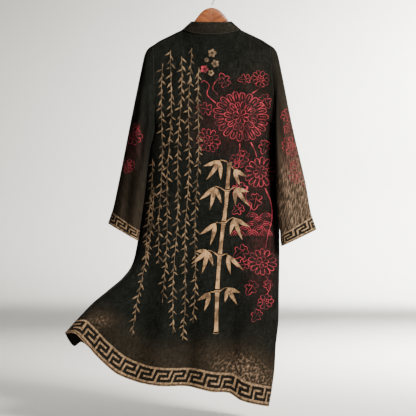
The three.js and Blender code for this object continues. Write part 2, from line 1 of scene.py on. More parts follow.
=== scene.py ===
"""A long robe of kimono cut, hung on a wooden clothes hanger: the dressed model.

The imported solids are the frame. This script lays fine cloth on the same form, from the same
rules and tables, and adds the weave, the fret borders, the printed sprays, the stitches and the
wood. Only the armpits and side seams differ: cloth meets there, where the solids stand apart.
Sizes are millimetres in the frame's axes, and meshes are written in metres: +Z is up, the robe's
back faces +Y, and the wearer's left is +X.
"""

from __future__ import annotations

import logging
import math
from dataclasses import dataclass, field
from enum import Enum
from functools import partial
from typing import Callable, Sequence

import bpy
import mathutils
import numpy as np
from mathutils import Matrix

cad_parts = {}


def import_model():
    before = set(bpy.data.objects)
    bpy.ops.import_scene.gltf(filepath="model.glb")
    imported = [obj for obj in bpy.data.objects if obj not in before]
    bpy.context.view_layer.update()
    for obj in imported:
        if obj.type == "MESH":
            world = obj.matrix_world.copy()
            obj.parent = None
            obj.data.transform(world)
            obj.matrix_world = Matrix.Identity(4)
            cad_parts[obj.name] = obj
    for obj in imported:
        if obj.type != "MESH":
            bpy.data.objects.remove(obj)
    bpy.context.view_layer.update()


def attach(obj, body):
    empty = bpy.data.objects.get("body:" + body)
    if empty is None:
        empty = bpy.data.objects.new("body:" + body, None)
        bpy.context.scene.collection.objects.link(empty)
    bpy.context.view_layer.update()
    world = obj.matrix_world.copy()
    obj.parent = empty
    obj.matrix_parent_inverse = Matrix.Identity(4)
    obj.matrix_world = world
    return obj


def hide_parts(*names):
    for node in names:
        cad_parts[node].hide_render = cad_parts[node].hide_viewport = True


LOG = logging.getLogger("robe")
Array, Piece = np.ndarray, bpy.types.Object
Material, Socket = bpy.types.Material, bpy.types.NodeSocket
MM = 0.001  # metres in a millimetre
RIGHT, LEFT = -1, 1
SIDES = ((LEFT, "left"), (RIGHT, "right"))
BODY = "root"  # the one body that everything rides on
SHARP = math.radians(50)  # edges that turn more than this stay crisp


# ---------------- tables and folds
@dataclass(frozen=True)
class Rows:
    """A table with named columns, followed on a smooth curve along its first one."""

    columns: str
    rows: tuple[tuple[float, ...], ...]

    def column(self, name: str) -> Array:
        """One column as an array."""
        return np.array(self.rows, float)[:, self.columns.split().index(name)]

    def follow(self, name: str, t: Array) -> Array:
        """The smooth value of a column.

        Args:
            name: the column.
            t: places along the first column, clamped to its ends.

        Returns:
            The values at those places.
        """
        at, value = self.column(self.columns.split()[0]), self.column(name)
        slope = np.gradient(value, at, edge_order=1)
        slope[1:-1] = (value[2:] - value[:-2]) / (at[2:] - at[:-2])
        i = np.clip(np.searchsorted(at, t, side="left") - 1, 0, len(at) - 2)
        span = at[i + 1] - at[i]
        f = np.clip((t - at[i]) / span, 0, 1)
        turn = (3 - 2 * f) * f * f
        ends = f * (1 - f) ** 2 * span * slope[i] + f * f * (f - 1) * span * slope[i + 1]
        return value[i] + (value[i + 1] - value[i]) * turn + ends


def smooth(t: Array) -> Array:
    """0 below 0, 1 above 1, and an even turn between."""
    t = np.clip(t, 0, 1)
    return t * t * (3 - 2 * t)


def lerp(a: Array, b: Array, t: Array) -> Array:
    """The value t of the way from a to b."""
    return a + (b - a) * t


@dataclass(frozen=True)
class Folds:
    """Soft ridges (out above 0) and troughs, each from (x, z) to (to_x, to_z)."""

    rows: tuple[tuple[float, float, float, float, float, float], ...]
    rise: float = 0.4  # share of a fold's length over which it rises
    die: float = 0.25  # and over which it dies out at its far end

    def at(self, x: Array, z: Array) -> Array:
        """How far the folds stand out at (x, z), summed."""
        total = np.zeros(np.broadcast(x, z).shape)
        for x0, z0, x1, z1, half, out in self.rows:
            dx, dz = x1 - x0, z1 - z0
            length = math.hypot(dx, dz)
            t = ((x - x0) * dx + (z - z0) * dz) / length**2
            off = ((x - x0) * dz - (z - z0) * dx) / length / half
            ends = smooth(t / self.rise) * smooth((1 - t) / self.die)
            total += out * ends * np.exp(-off * off)
        return total


SHOULDER_LINE = Rows("at z", ((96.5, -135), (138, -155), (170, -171), (193, -186)))
SIDE_LEFT = Rows(
    "at x tuck blow z",
    (
        (0, 186, 0, 0, -452), (0.022, 188.5, -6, 0, -470), (0.048, 194.5, -13, 0, -490),
        (0.116, 211, -22, 0, -545), (0.305, 228, -24, 0, -690), (0.481, 244, -20, 6, -829),
        (0.583, 260, -14, 20, -905), (0.651, 288, -8, 36, -948), (0.739, 336, -4, 56, -990),
        (0.824, 384, 0, 78, -1030), (0.905, 424, 0, 100, -1072), (1, 472, 0, 120, -1126),
    ),
)
SIDE_RIGHT = Rows(
    "at x tuck blow z",
    (
        (0, -209, 0, 0, -452), (0.022, -209.5, -6, 0, -472), (0.046, -212.5, -13, 0, -495),
        (0.1, -217, -21, 0, -545), (0.257, -223, -25, 0, -690), (0.43, -225, -20, 0, -850),
        (0.59, -223, -16, 0, -1000), (0.7, -221, -14, 0, -1100), (0.78, -213, -15, 0, -1175),
        (0.884, -207, -20, 0, -1271), (1, -190, -25, 0, -1379),
    ),
)
HEM_BACK = Rows(
    "at x z",
    (
        (0, -190, -1379), (0.055, -150, -1368), (0.133, -94, -1350), (0.192, -56, -1327),
        (0.265, -2, -1320), (0.365, 71, -1303), (0.462, 144, -1299), (0.518, 186, -1295),
        (0.603, 245, -1284), (0.695, 305, -1258), (0.792, 364, -1203), (0.85, 392, -1172),
        (0.905, 416, -1145), (0.955, 440, -1124), (1, 472, -1126),
    ),
)
HEM_FRONT_LEFT = Rows(
    "at x z",
    (
        (0, 150, -1288), (0.2, 215, -1276), (0.4, 288, -1250), (0.55, 342, -1226), (0.7, 390, -1194),
        (0.81, 426, -1162), (0.89, 448, -1173), (0.95, 463, -1152), (1, 472, -1126),
    ),
)
HEM_FRONT_RIGHT = Rows(
    "at x z", ((0, 5, -1304), (0.35, -62, -1322), (0.7, -134, -1350), (1, -190, -1379))
)
EDGE_LEFT = Rows(
    "at x z",
    (
        (0, 96.5, -135), (0.1, 78, -255), (0.2, 68, -380), (0.4, 64, -625), (0.6, 74, -858),
        (0.8, 102, -1080), (1, 150, -1288),
    ),
)
EDGE_RIGHT = Rows(
    "at x z",
    (
        (0, -96.5, -135), (0.1, -78, -255), (0.2, -68, -380), (0.4, -62, -625), (0.6, -50, -860),
        (0.8, -28, -1084), (1, 5, -1304),
    ),
)
DEPTH = Rows("at back front", ((0, 42, 40), (0.22, 44, 42), (0.6, 56, 52), (1, 76, 74)))
OUTER_LEFT = Rows(
    "at x y z",
    (
        (0, 193, 0, -186), (0.035, 208, -1, -197), (0.075, 219, -2, -216), (0.16, 232, -4, -272),
        (0.44, 269, -8, -452), (0.72, 303, -8, -625), (0.9, 325, -6, -728), (1, 340, -4, -774),
    ),
)
INNER_LEFT = Rows(
    "at x y z",
    (
        (0, 186, 0, -452), (0.05, 187, 14, -468), (0.1, 190.5, 26, -486), (0.22, 202, 34, -535),
        (0.65, 221, 34, -697), (1, 241, 34, -830),
    ),
)
OUTER_RIGHT = Rows(
    "at x y z",
    (
        (0, -193, 0, -186), (0.035, -206, -1, -196), (0.075, -217, -2, -215), (0.16, -230, -4, -272),
        (0.44, -266, -8, -452), (0.72, -308, -8, -631), (0.9, -328, -6, -742), (1, -345, -4, -794),
    ),
)
INNER_RIGHT = Rows(
    "at x y z",
    (
        (0, -209, 0, -452), (0.05, -208, 14, -468), (0.1, -208, 27, -486), (0.22, -208.5, 35, -540),
        (0.65, -214, 34, -705), (1, -229, 34, -848),
    ),
)
SLEEVE_DEPTH = Rows("at half", ((0, 36), (0.35, 40), (1, 33)))

# Folds: x, z, to_x, to_z, half width, out. FOLDS are the solids' own, and CREASES are finer ones.
FOLDS_BACK = Folds(
    (
        (-124, -270, -128, -620, 30, 6), (-146, -640, -118, -1500, 40, 16),
        (-58, -960, -62, -1500, 38, -17), (8, -760, 6, -1500, 42, 12), (76, -960, 92, -1500, 38, -14),
        (110, -760, 196, -1500, 42, 16), (176, -860, 300, -1400, 40, -16), (212, -860, 400, -1300, 40, 14),
    )
)
CREASES_BACK = Folds(
    (
        (-112, -232, -124, -520, 9, 2.4), (-139, -250, -150, -560, 11, -2.6), (60, -190, 72, -430, 12, 1.2),
        (-30, -185, -38, -420, 13, -1.0), (150, -300, 158, -700, 9, -2.2), (132, -330, 141, -900, 12, 1.4),
        (-190, -360, -172, -640, 8, 2.0), (-168, -660, -150, -1120, 12, -2.4),
        (-90, -880, -96, -1480, 16, 2.6), (-22, -1040, -30, -1500, 14, -2.6),
        (44, -1020, 52, -1500, 15, 2.4), (128, -980, 150, -1480, 14, -2.6),
        (232, -930, 330, -1290, 15, 3.0), (262, -948, 396, -1200, 12, -3.4),
        (226, -900, 286, -960, 12, 3.2), (248, -880, 330, -1010, 10, -2.4), (186, -480, 120, -560, 9, -1.6),
        (-206, -480, -140, -552, 9, -1.6), (-206, -520, -150, -640, 10, 1.6),
        (-178, -1180, -130, -1250, 16, 2.2),
    )
)
FOLDS_FRONT = Folds(
    (
        (124, -260, 128, -700, 26, 6), (-126, -260, -132, -700, 26, 6), (130, -760, 214, -1500, 38, 16),
        (172, -860, 306, -1440, 38, -16), (214, -860, 396, -1330, 38, 16), (-62, -700, -30, -1500, 30, 18),
        (-112, -760, -88, -1500, 28, -22), (-160, -700, -144, -1500, 30, 18),
    )
)
CREASES_FRONT = Folds(
    (
        (104, -230, 96, -520, 10, 1.8), (-108, -236, -98, -540, 10, 1.8), (150, -360, 148, -760, 10, -2.2),
        (-160, -380, -150, -700, 10, -2.0), (188, -470, 128, -560, 9, -1.6),
        (-204, -476, -142, -560, 9, -1.6), (116, -820, 160, -1420, 13, -2.2),
        (244, -930, 320, -1290, 14, 2.6), (-84, -800, -66, -1480, 12, 2.0),
        (-186, -900, -168, -1400, 12, -2.2),
    )
)
FOLDS_SLEEVE = Folds(
    (
        (222, -250, 252, -560, 15, 7), (205, -300, 240, -640, 13, -8), (250, -480, 292, -840, 14, -6),
        (214, -520, 268, -860, 13, 6),
    )
)
CREASES_LEFT = Folds(
    (
        (228, -330, 262, -372, 7, 1.8), (232, -380, 254, -470, 8, -2.2), (246, -520, 226, -610, 7, 1.8),
        (262, -560, 292, -640, 7, -1.8), (236, -640, 268, -720, 8, 1.8), (286, -690, 316, -770, 8, 1.4),
        (206, -380, 214, -480, 6, -1.6),
    )
)
CREASES_RIGHT = Folds(
    (
        (224, -300, 250, -352, 7, 1.6), (236, -400, 258, -500, 8, -2.0), (252, -480, 234, -600, 7, 2.0),
        (268, -610, 300, -700, 8, -1.8), (232, -650, 262, -760, 8, 1.6), (290, -700, 318, -790, 8, 1.4),
        (212, -400, 218, -500, 6, -1.6),
    )
)


# ---------------- the form of the hanging robe
@dataclass(frozen=True)
class RobeForm:
    """Where the middle of the cloth lies, by the solids' own rules, with finer creases."""

    shoulder_half: float = 193.0
    neck_at: float = math.pi / 6  # column angle of the neck point
    neck_deep: float = 42.0
    neck_z: float = -155.0
    neck_rise: float = 20.0
    neck_hollow: float = 2.5
    armhole_deep: float = 36.0
    roundness: float = 0.9
    armhole_share: float = 0.22
    band_share: float = 0.055
    cuff_share: float = 0.085
    ridge: float = 10.0
    slope_fall: float = 150.0
    neck_fall: float = 250.0
    armhole_gap: float = 0.7
    sleeve_folds_from: float = 0.2

    @property
    def neck_half(self) -> float:
        """Half of the neck's width."""
        return self.shoulder_half * math.sin(self.neck_at)

    def top_seam(self, phi: Array) -> tuple[Array, Array, Array]:
        """The shoulder and back neck seam.

        Args:
            phi: column angles, from -90 degrees at the right to 90 at the left.

        Returns:
            x, y and z of the seam.
        """
        x = self.shoulder_half * np.sin(phi)
        share = np.minimum(np.abs(x) / self.neck_half, 1)
        y = self.neck_deep * np.sqrt(1 - share * share)
        hollow = self.neck_z + self.neck_rise * share**self.neck_hollow
        return x, y, np.where(share < 1, hollow, SHOULDER_LINE.follow("z", np.abs(x)))

    def side_seam(self, side: int, v: Array) -> dict[str, Array]:
        """The armhole and side seam of one side.

        Args:
            side: LEFT or RIGHT.
            v: share of the way from shoulder to hem.

        Returns:
            x and z of the seam, its tuck and blow, and how far the armhole is open there.
        """
        rows = SIDE_LEFT if side > 0 else SIDE_RIGHT
        share = self.armhole_share
        up = np.clip(v / share, 0, 1)
        down = np.clip((v - share) / (1 - share), 0, 1)
        tip_x, _, tip_z = self.top_seam(np.array(side * math.pi / 2))
        _, x0, _, _, z0 = rows.rows[0]
        above = v < share
        turn = np.arccos(1 - 2 * up)
        return {
            "x": np.where(above, lerp(tip_x, x0, up), rows.follow("x", down)),
            "z": np.where(above, lerp(tip_z, z0, up), rows.follow("z", down)),
            "tuck": np.where(above, 0, rows.follow("tuck", down)),
            "blow": np.where(above, 0, rows.follow("blow", down)),
            "open": np.where(above, self.armhole_deep * np.sin(turn) ** self.roundness, 0),
        }

    def stand_out(self, name: str, drop: Array, v: Array, top_y: Array) -> Array:
        """How far a panel stands out from the hanger's plane.

        Args:
            name: the panel's column in DEPTH.
            drop: how far below its top seam.
            v: share of the way from shoulder to hem.
            top_y: how far the top seam stands out.

        Returns:
            The distance, never negative.
        """
        h = np.maximum(drop, 0)
        over = self.ridge * np.sin(np.minimum(1, h / self.ridge) * (math.pi / 2))
        chest = over + DEPTH.follow(name, v) * (1 - np.exp(-h / self.slope_fall))
        neck = top_y * np.exp(-h / self.neck_fall)
        return np.cbrt(chest**3 + neck**3)

    def back(self, phi: Array, v: Array) -> Array:
        """The back.

        Args:
            phi: column angles.
            v: shares of the way from shoulder to hem.

        Returns:
            Its points.
        """
        s = (np.sin(phi) + 1) / 2
        top = dict(zip("xyz", self.top_seam(phi)))
        hem = {axis: HEM_BACK.follow(axis, s) for axis in "xz"}
        near, far = self.side_seam(RIGHT, v), self.side_seam(LEFT, v)
        ends = [self.side_seam(side, np.array(w)) for w in (0.0, 1.0) for side in (RIGHT, LEFT)]
        x, z = (between(top, hem, near, far, ends, s, v, axis) for axis in "xz")
        rounding = np.maximum(0, np.cos(phi)) ** self.roundness
        seam = lerp(near["tuck"] + near["open"], far["tuck"] + far["open"], s)
        deep = self.stand_out("back", top["z"] - z, v, top["y"])
        y = far["blow"] * s**3 + lerp(seam, deep, rounding)
        soft = rounding * (FOLDS_BACK.at(x, z) + CREASES_BACK.at(x, z))
        return np.stack(np.broadcast_arrays(x, y + soft, z), axis=-1)

    def front(self, side: int, phi: Array, v: Array) -> Array:
        """One front.

        Args:
            side: LEFT or RIGHT.
            phi: column angles, from the neck point to the side.
            v: shares of the way from shoulder to hem.

        Returns:
            Its points.
        """
        low = math.sin(self.neck_at)
        t = np.clip((np.sin(phi) - low) / (1 - low), 0, 1)
        hem_rows = HEM_FRONT_LEFT if side > 0 else HEM_FRONT_RIGHT
        edge_rows = EDGE_LEFT if side > 0 else EDGE_RIGHT
        shoulder = self.shoulder_half * np.sin(phi)
        top = {"x": side * shoulder, "z": SHOULDER_LINE.follow("z", shoulder)}
        hem = {axis: hem_rows.follow(axis, t) for axis in "xz"}
        near = {axis: edge_rows.follow(axis, v) for axis in "xz"}
        far = self.side_seam(side, v)
        ends = []
        for w in (0.0, 1.0):
            ends.append({axis: edge_rows.follow(axis, np.array(w)) for axis in "xz"})
            ends.append(self.side_seam(side, np.array(w)))
        x, z = (between(top, hem, near, far, ends, t, v, axis) for axis in "xz")
        rounding = np.sqrt(np.maximum(0, 1 - t * t)) ** self.roundness
        deep = self.stand_out("front", top["z"] - z, v, np.array(0.0))
        blow = self.side_seam(LEFT, v)["blow"] * ((side * t + 1) / 2) ** 3
        y = blow - lerp(far["open"] - far["tuck"], deep, rounding)
        soft = rounding * (FOLDS_FRONT.at(x, z) + CREASES_FRONT.at(x, z))
        return np.stack(np.broadcast_arrays(x, y - soft, z), axis=-1)

    def sleeve(self, side: int, s: Array, theta: Array) -> Array:
        """One sleeve.

        Args:
            side: LEFT or RIGHT.
            s: shares of the way from armhole to cuff.
            theta: angles round it, from the shoulder by way of the back.

        Returns:
            Its points.
        """
        outer, inner = (OUTER_LEFT, INNER_LEFT) if side > 0 else (OUTER_RIGHT, INNER_RIGHT)
        creases = CREASES_LEFT if side > 0 else CREASES_RIGHT
        w = (1 + np.cos(theta)) / 2
        x, y, z = (lerp(inner.follow(axis, s), outer.follow(axis, s), w) for axis in "xyz")
        rounding = np.abs(np.sin(theta)) ** self.roundness * np.sign(np.sin(theta))
        x = x + side * self.armhole_gap
        fold = FOLDS_SLEEVE.at(np.abs(x), z) + creases.at(np.abs(x), z)
        half = SLEEVE_DEPTH.follow("half", s) + fold * smooth(s / self.sleeve_folds_from)
        return np.stack(np.broadcast_arrays(x, y + rounding * half, z), axis=-1)


def between(
    top: dict, hem: dict, near: dict, far: dict, ends: Sequence[dict], s: Array, v: Array, axis: str
) -> Array:
    """One coordinate of a panel that fills in four seams.

    Args:
        top, hem, near, far: the seams' coordinates by axis.
        ends: the four corners: near and far at the top, then at the hem.
        s: share across, from near to far.
        v: share down, from top to hem.
        axis: the coordinate's name.

    Returns:
        The coordinate at each place.
    """
    down = lerp(top[axis], hem[axis], v)
    across = lerp(near[axis], far[axis], s)
    upper = lerp(ends[0][axis], ends[1][axis], s)
    lower = lerp(ends[2][axis], ends[3][axis], s)
    return down + across - lerp(upper, lower, v)


FORM = RobeForm()


# ---------------- cloth as a grid
@dataclass
class Cloth:
    """One cut piece as rows and columns of points in millimetres; wrap closes it to a tube."""

    points: Array
    wrap: bool = False
    centre_column: int = 0
    normals: Array = field(init=False)
    cut: Array = field(init=False)  # place on the flat cut: across and down, millimetres

    def __post_init__(self) -> None:
        """Works out the normals, facing out of the garment, and the flat cut."""
        p = self.points
        across = np.gradient(p, axis=1)
        if self.wrap:
            across[:, 0] = across[:, -1] = (p[:, 1] - p[:, -2]) / 2
        normals = np.cross(across, np.gradient(p, axis=0))
        normals /= np.maximum(np.linalg.norm(normals, axis=2, keepdims=True), 1e-9)
        middle = p.reshape(-1, 3).mean(axis=0)
        if (normals * (p - middle)).sum() < 0:
            normals = -normals
        self.normals = normals
        u = np.zeros(p.shape[:2])
        v = np.zeros(p.shape[:2])
        u[:, 1:] = np.cumsum(np.linalg.norm(np.diff(p, axis=1), axis=2), axis=1)
        v[1:] = np.cumsum(np.linalg.norm(np.diff(p, axis=0), axis=2), axis=0)
        self.cut = np.stack([u - u[:, self.centre_column][:, None], v], axis=2)

    def square_seams(self, axis: int, where: tuple) -> None:
        """Takes one axis out of the normals on a seam, so that the wall ends square to it."""
        self.normals[where + (axis,)] = 0
        self.normals /= np.maximum(np.linalg.norm(self.normals, axis=2, keepdims=True), 1e-9)

    def last_rows(self, count: int) -> "Cloth":
        """The strip of the last rows, for the border on it."""
        strip = Cloth(self.points[-count - 1 :], self.wrap, self.centre_column)
        strip.normals = self.normals[-count - 1 :]
        return strip

    def area(self) -> float:
        """The area of the cloth's middle, in square metres."""
        p = self.points
        a, b = p[1:, 1:] - p[:-1, :-1], p[1:, :-1] - p[:-1, 1:]
        return float(np.linalg.norm(np.cross(a, b), axis=2).sum() / 2 * MM * MM)

    def sample(self, grid: Array, i: Array, j: Array) -> Array:
        """Values of a grid, straight between its points.

        Args:
            grid: points, normals or the cut, as rows and columns.
            i: broken rows.
            j: broken columns.

        Returns:
            The values.
        """
        i0 = np.clip(np.floor(i).astype(int), 0, grid.shape[0] - 2)
        j0 = np.clip(np.floor(j).astype(int), 0, grid.shape[1] - 2)
        fi, fj = (i - i0)[..., None], (j - j0)[..., None]
        low = lerp(grid[i0, j0], grid[i0, j0 + 1], fj)
        high = lerp(grid[i0 + 1, j0], grid[i0 + 1, j0 + 1], fj)
        return lerp(low, high, fi)

    def locate(self, x: Array, z: Array, pitch: float = 12.0) -> tuple[Array, Array, Array]:
        """Finds which rows and columns of the cloth lie at (x, z), seen square on.

        Args:
            x: places across, in millimetres.
            z: heights, in millimetres.
            pitch: cell size of the first guess.

        Returns:
            Broken rows, broken columns, and how far off each place still is.
        """
        flat = self.points[..., [0, 2]]
        low = flat.reshape(-1, 2).min(axis=0)
        cells = ((flat - low) / pitch).astype(int)
        guess = np.full((*(cells.reshape(-1, 2).max(axis=0) + 1), 2), -1.0)
        rows, columns = np.indices(self.points.shape[:2])
        guess[cells[..., 0], cells[..., 1]] = np.stack([rows, columns], axis=-1)
        for _ in range(max(guess.shape)):
            empty = guess[..., 0] < 0
            if not empty.any():
                break
            for shift, axis in ((1, 0), (-1, 0), (1, 1), (-1, 1)):
                near = np.roll(guess, shift, axis)
                take = (guess[..., 0] < 0) & (near[..., 0] >= 0)
                guess[take] = near[take]
        want = np.stack([x, z], axis=-1)
        cell = np.clip(((want - low) / pitch).astype(int), 0, np.array(guess.shape[:2]) - 1)
        place = guess[cell[..., 0], cell[..., 1]]
        limit = np.array(self.points.shape[:2]) - 1.0
        step = 0.5
        for _ in range(12):
            here = self.sample(flat, place[..., 0], place[..., 1])
            by_row = self.sample(flat, np.minimum(place[..., 0] + step, limit[0]), place[..., 1])
            by_row -= self.sample(flat, np.maximum(place[..., 0] - step, 0), place[..., 1])
            by_col = self.sample(flat, place[..., 0], np.minimum(place[..., 1] + step, limit[1]))
            by_col -= self.sample(flat, place[..., 0], np.maximum(place[..., 1] - step, 0))
            miss = want - here
            det = by_row[..., 0] * by_col[..., 1] - by_row[..., 1] * by_col[..., 0]
            det = np.where(np.abs(det) < 1e-6, 1e-6, det)
            di = (miss[..., 0] * by_col[..., 1] - miss[..., 1] * by_col[..., 0]) / det
            dj = (by_row[..., 0] * miss[..., 1] - by_row[..., 1] * miss[..., 0]) / det
            place = np.clip(place + np.clip(np.stack([di, dj], axis=-1), -6, 6), 0, limit)
        miss = want - self.sample(flat, place[..., 0], place[..., 1])
        return place[..., 0], place[..., 1], np.linalg.norm(miss, axis=-1)


def linked(name: str, data: bpy.types.ID) -> Piece:
    """A new object in the scene."""
    made = bpy.data.objects.new(name, data)
    bpy.context.scene.collection.objects.link(made)
    return made


def write_mesh(
    name: str,
    points: Array,
    faces: Array,
    uvs: dict[str, Array] | None = None,
    values: dict[str, Array] | None = None,
) -> Piece:
    """Makes a mesh object with its faces out.

    Args:
        name: the piece's name.
        points: vertices in millimetres.
        faces: quads, as rows of four vertex numbers.
        uvs: UV maps, each with one pair for each face corner.
        values: point attributes, each with one number for each vertex.

    Returns:
        The object, at the origin.
    """
    uvs = uvs or {}
    corner = points[faces]
    first = np.cross(corner[:, 1], corner[:, 2])
    second = np.cross(corner[:, 2], corner[:, 3])
    if (corner[:, 0] * (first + second)).sum() < 0:
        faces = faces[:, ::-1]
        uvs = {key: uv.reshape(-1, 4, 2)[:, ::-1].reshape(-1, 2) for key, uv in uvs.items()}
    mesh = bpy.data.meshes.new(name)
    mesh.vertices.add(len(points))
    mesh.vertices.foreach_set("co", (points * MM).astype(np.float32).ravel())
    mesh.loops.add(faces.size)
    mesh.loops.foreach_set("vertex_index", faces.astype(np.int32).ravel())
    mesh.polygons.add(len(faces))
    mesh.polygons.foreach_set("loop_start", np.arange(0, faces.size, 4, dtype=np.int32))
    mesh.update(calc_edges=True)
    for key, uv in uvs.items():
        layer = mesh.uv_layers.new(name=key)
        layer.uv.foreach_set("vector", uv.astype(np.float32).ravel())
    for key, value in (values or {}).items():
        layer = mesh.attributes.new(key, "FLOAT", "POINT")
        layer.data.foreach_set("value", value.astype(np.float32).ravel())
    mesh.shade_smooth()
    mesh.set_sharp_from_angle(angle=SHARP)
    mesh.validate()
    piece = linked(name, mesh)
    return piece


def shell(
    name: str,
    cloth: Cloth,
    thick: float,
    out: float = 0.0,
    maps: dict[str, Array] | None = None,
    values: dict[str, Array] | None = None,
) -> Piece:
    """A closed thin wall on a cloth's grid.

    Args:
        name: the piece's name.
        cloth: the grid.
        thick: the wall's thickness.
        out: how far the wall's middle stands out from the grid.
        maps: more UV maps, with a pair for each grid point; "cut" is always there.
        values: point attributes, with a number for each grid point.

    Returns:
        The object.
    """
    rows, columns = cloth.points.shape[:2]
    used = columns - 1 if cloth.wrap else columns
    sides = [cloth.points + cloth.normals * (out + half * thick / 2) for half in (1, -1)]
    points = np.concatenate([side[:, :used].reshape(-1, 3) for side in sides])
    i, j = np.meshgrid(np.arange(rows - 1), np.arange(columns - 1), indexing="ij")
    ring = np.stack([(i, j), (i + 1, j), (i + 1, j + 1), (i, j + 1)])  # corner, axis, i, j
    ring = ring.transpose(2, 3, 0, 1).reshape(-1, 4, 2)
    quads = [np.concatenate([ring, np.zeros((*ring.shape[:2], 1), int)], axis=2)]
    quads.append(np.concatenate([ring[:, ::-1], np.ones((*ring.shape[:2], 1), int)], axis=2))
    j = np.arange(columns - 1)
    for row, order in ((0, 1), (rows - 1, -1)):
        rim = np.array([[(row, a, 0), (row, a + 1, 0), (row, a + 1, 1), (row, a, 1)] for a in j])
        quads.append(rim[:, ::order])
    if not cloth.wrap:
        for column, order in ((0, -1), (columns - 1, 1)):
            places = [((a, column), (a + 1, column)) for a in range(rows - 1)]
            rim = np.array([[(*a, 0), (*b, 0), (*b, 1), (*a, 1)] for a, b in places])
            quads.append(rim[:, ::order])
    corners = np.concatenate(quads)
    faces = corners[..., 2] * rows * used + corners[..., 0] * used + corners[..., 1] % used
    maps = {"cut": cloth.cut * MM, **(maps or {})}
    uvs = {key: grid[corners[..., 0], corners[..., 1]].reshape(-1, 2) for key, grid in maps.items()}
    doubled = {key: np.tile(grid[:, :used].ravel(), 2) for key, grid in (values or {}).items()}
    return write_mesh(name, points, faces, uvs, doubled)


# ---------------- nodes and finishes
def srgb(code: str) -> tuple[float, float, float, float]:
    """The linear colour of an sRGB hex value such as "#23241f"."""
    parts = [int(code[k : k + 2], 16) / 255 for k in (1, 3, 5)]
    linear = [c / 12.92 if c <= 0.04045 else ((c + 0.055) / 1.055) ** 2.4 for c in parts]
    return (*linear, 1.0)


def node(
    tree: bpy.types.NodeTree, kind: str, inputs: dict | None = None, **settings: object
) -> bpy.types.Node:
    """Adds a node.

    Args:
        tree: the tree that takes it.
        kind: the node's type.
        inputs: for a socket, by name or number, its value or the output that feeds it.
        settings: the node's own properties.

    Returns:
        The node.
    """
    made = tree.nodes.new(kind)
    for key, value in settings.items():
        setattr(made, key, value)
    for key, value in (inputs or {}).items():
        if isinstance(value, Socket):
            tree.links.new(value, made.inputs[key])
        else:
            made.inputs[key].default_value = value
    return made


@dataclass
class Recipe:
    """A material in the making: its tree, its shader, and the patterns that finishes share."""

    name: str
    tree: bpy.types.NodeTree = field(init=False)
    material: Material = field(init=False)
    shader: bpy.types.Node = field(init=False)

    def __post_init__(self) -> None:
        """Makes an empty material with one principled shader."""
        self.material = bpy.data.materials.new(self.name)
        self.material.use_nodes = True
        self.tree = self.material.node_tree
        self.tree.nodes.clear()
        self.shader = self.add("BsdfPrincipled")
        self.add("OutputMaterial", {"Surface": self.shader.outputs[0]})

    def set(self, **values: object) -> None:
        """Sets the shader's sockets, with _ for a space in their names."""
        for key, value in values.items():
            socket = self.shader.inputs[key.replace("_", " ")]
            if isinstance(value, Socket):
                self.tree.links.new(value, socket)
            else:
                socket.default_value = value

    def add(self, kind: str, inputs: dict | None = None, **settings: object) -> bpy.types.Node:
        """Adds one shader node."""
        return node(self.tree, f"ShaderNode{kind}", inputs, **settings)

    def math(self, operation: str, *values: object, clamp: bool = False) -> Socket:
        """The output of one Math node."""
        fed = dict(enumerate(values))
        return self.add("Math", fed, operation=operation, use_clamp=clamp).outputs[0]

    def streaks(self, place: Socket, size: tuple[float, float, float], detail: float) -> Socket:
        """Cloudy noise.

        Args:
            place: where, in metres.
            size: how long its blotches are on each axis, in millimetres.
            detail: how many finer layers it has.

        Returns:
            The noise, about 0.3 to 0.7.
        """
        scale = tuple(1000 / s for s in size)
        scaled = self.add("VectorMath", {0: place, 1: scale}, operation="MULTIPLY")
        noise = {"Vector": scaled.outputs[0], "Scale": 1.0, "Detail": detail, "Roughness": 0.6}
        return self.add("TexNoise", noise).outputs[0]

    def spread(
        self, value: Socket, low: float, high: float, to: tuple[float, float] = (0, 1)
    ) -> Socket:
        """A value turned smoothly from the range low to high into the range to."""
        inputs = {"Value": value, 1: low, 2: high, 3: to[0], 4: to[1]}
        made = self.add("MapRange", inputs, interpolation_type="SMOOTHSTEP")
        return made.outputs[0]

    def mix(self, factor: object, a: object, b: object) -> Socket:
        """Colour a turned to b by factor; hex codes or outputs."""
        colours = {key: srgb(c) if isinstance(c, str) else c for key, c in ((6, a), (7, b))}
        made = self.add("Mix", {0: factor, **colours}, data_type="RGBA")
        return made.outputs[2]

    def flat_cut(self) -> Socket:
        """Place on the flat cut, in metres across and down."""
        return self.add("UVMap", uv_map="cut").outputs[0]

    def weave(self, pitch: float) -> tuple[Socket, Socket]:
        """Plain weave of uneven yarn.

        Args:
            pitch: distance between threads in millimetres.

        Returns:
            Height of the weave, and how light each yarn is, both about 0 to 1.
        """
        cut = self.flat_cut()
        warp = self.streaks(cut, (1.6 * pitch, 32, 1), 2)
        weft = self.streaks(cut, (26, 1.6 * pitch, 1), 2)
        split = self.add("SeparateXYZ", {0: cut})
        turn = 1000 * math.pi / pitch
        over = [self.math("SINE", self.math("MULTIPLY", split.outputs[k], turn)) for k in (0, 1)]
        crossing = self.math("MULTIPLY", over[0], over[1])
        slub = self.math("MAXIMUM", warp, weft)
        height = self.math("ADD", self.math("MULTIPLY", crossing, 0.35), slub)
        return height, slub

    def bump(self, height: Socket, depth: float, strength: float = 1.0) -> None:
        """Bumps the shader by height, depth in millimetres for each unit of it."""
        inputs = {"Height": height, "Distance": depth * MM, "Strength": strength}
        self.set(Normal=self.add("Bump", inputs).outputs["Normal"])


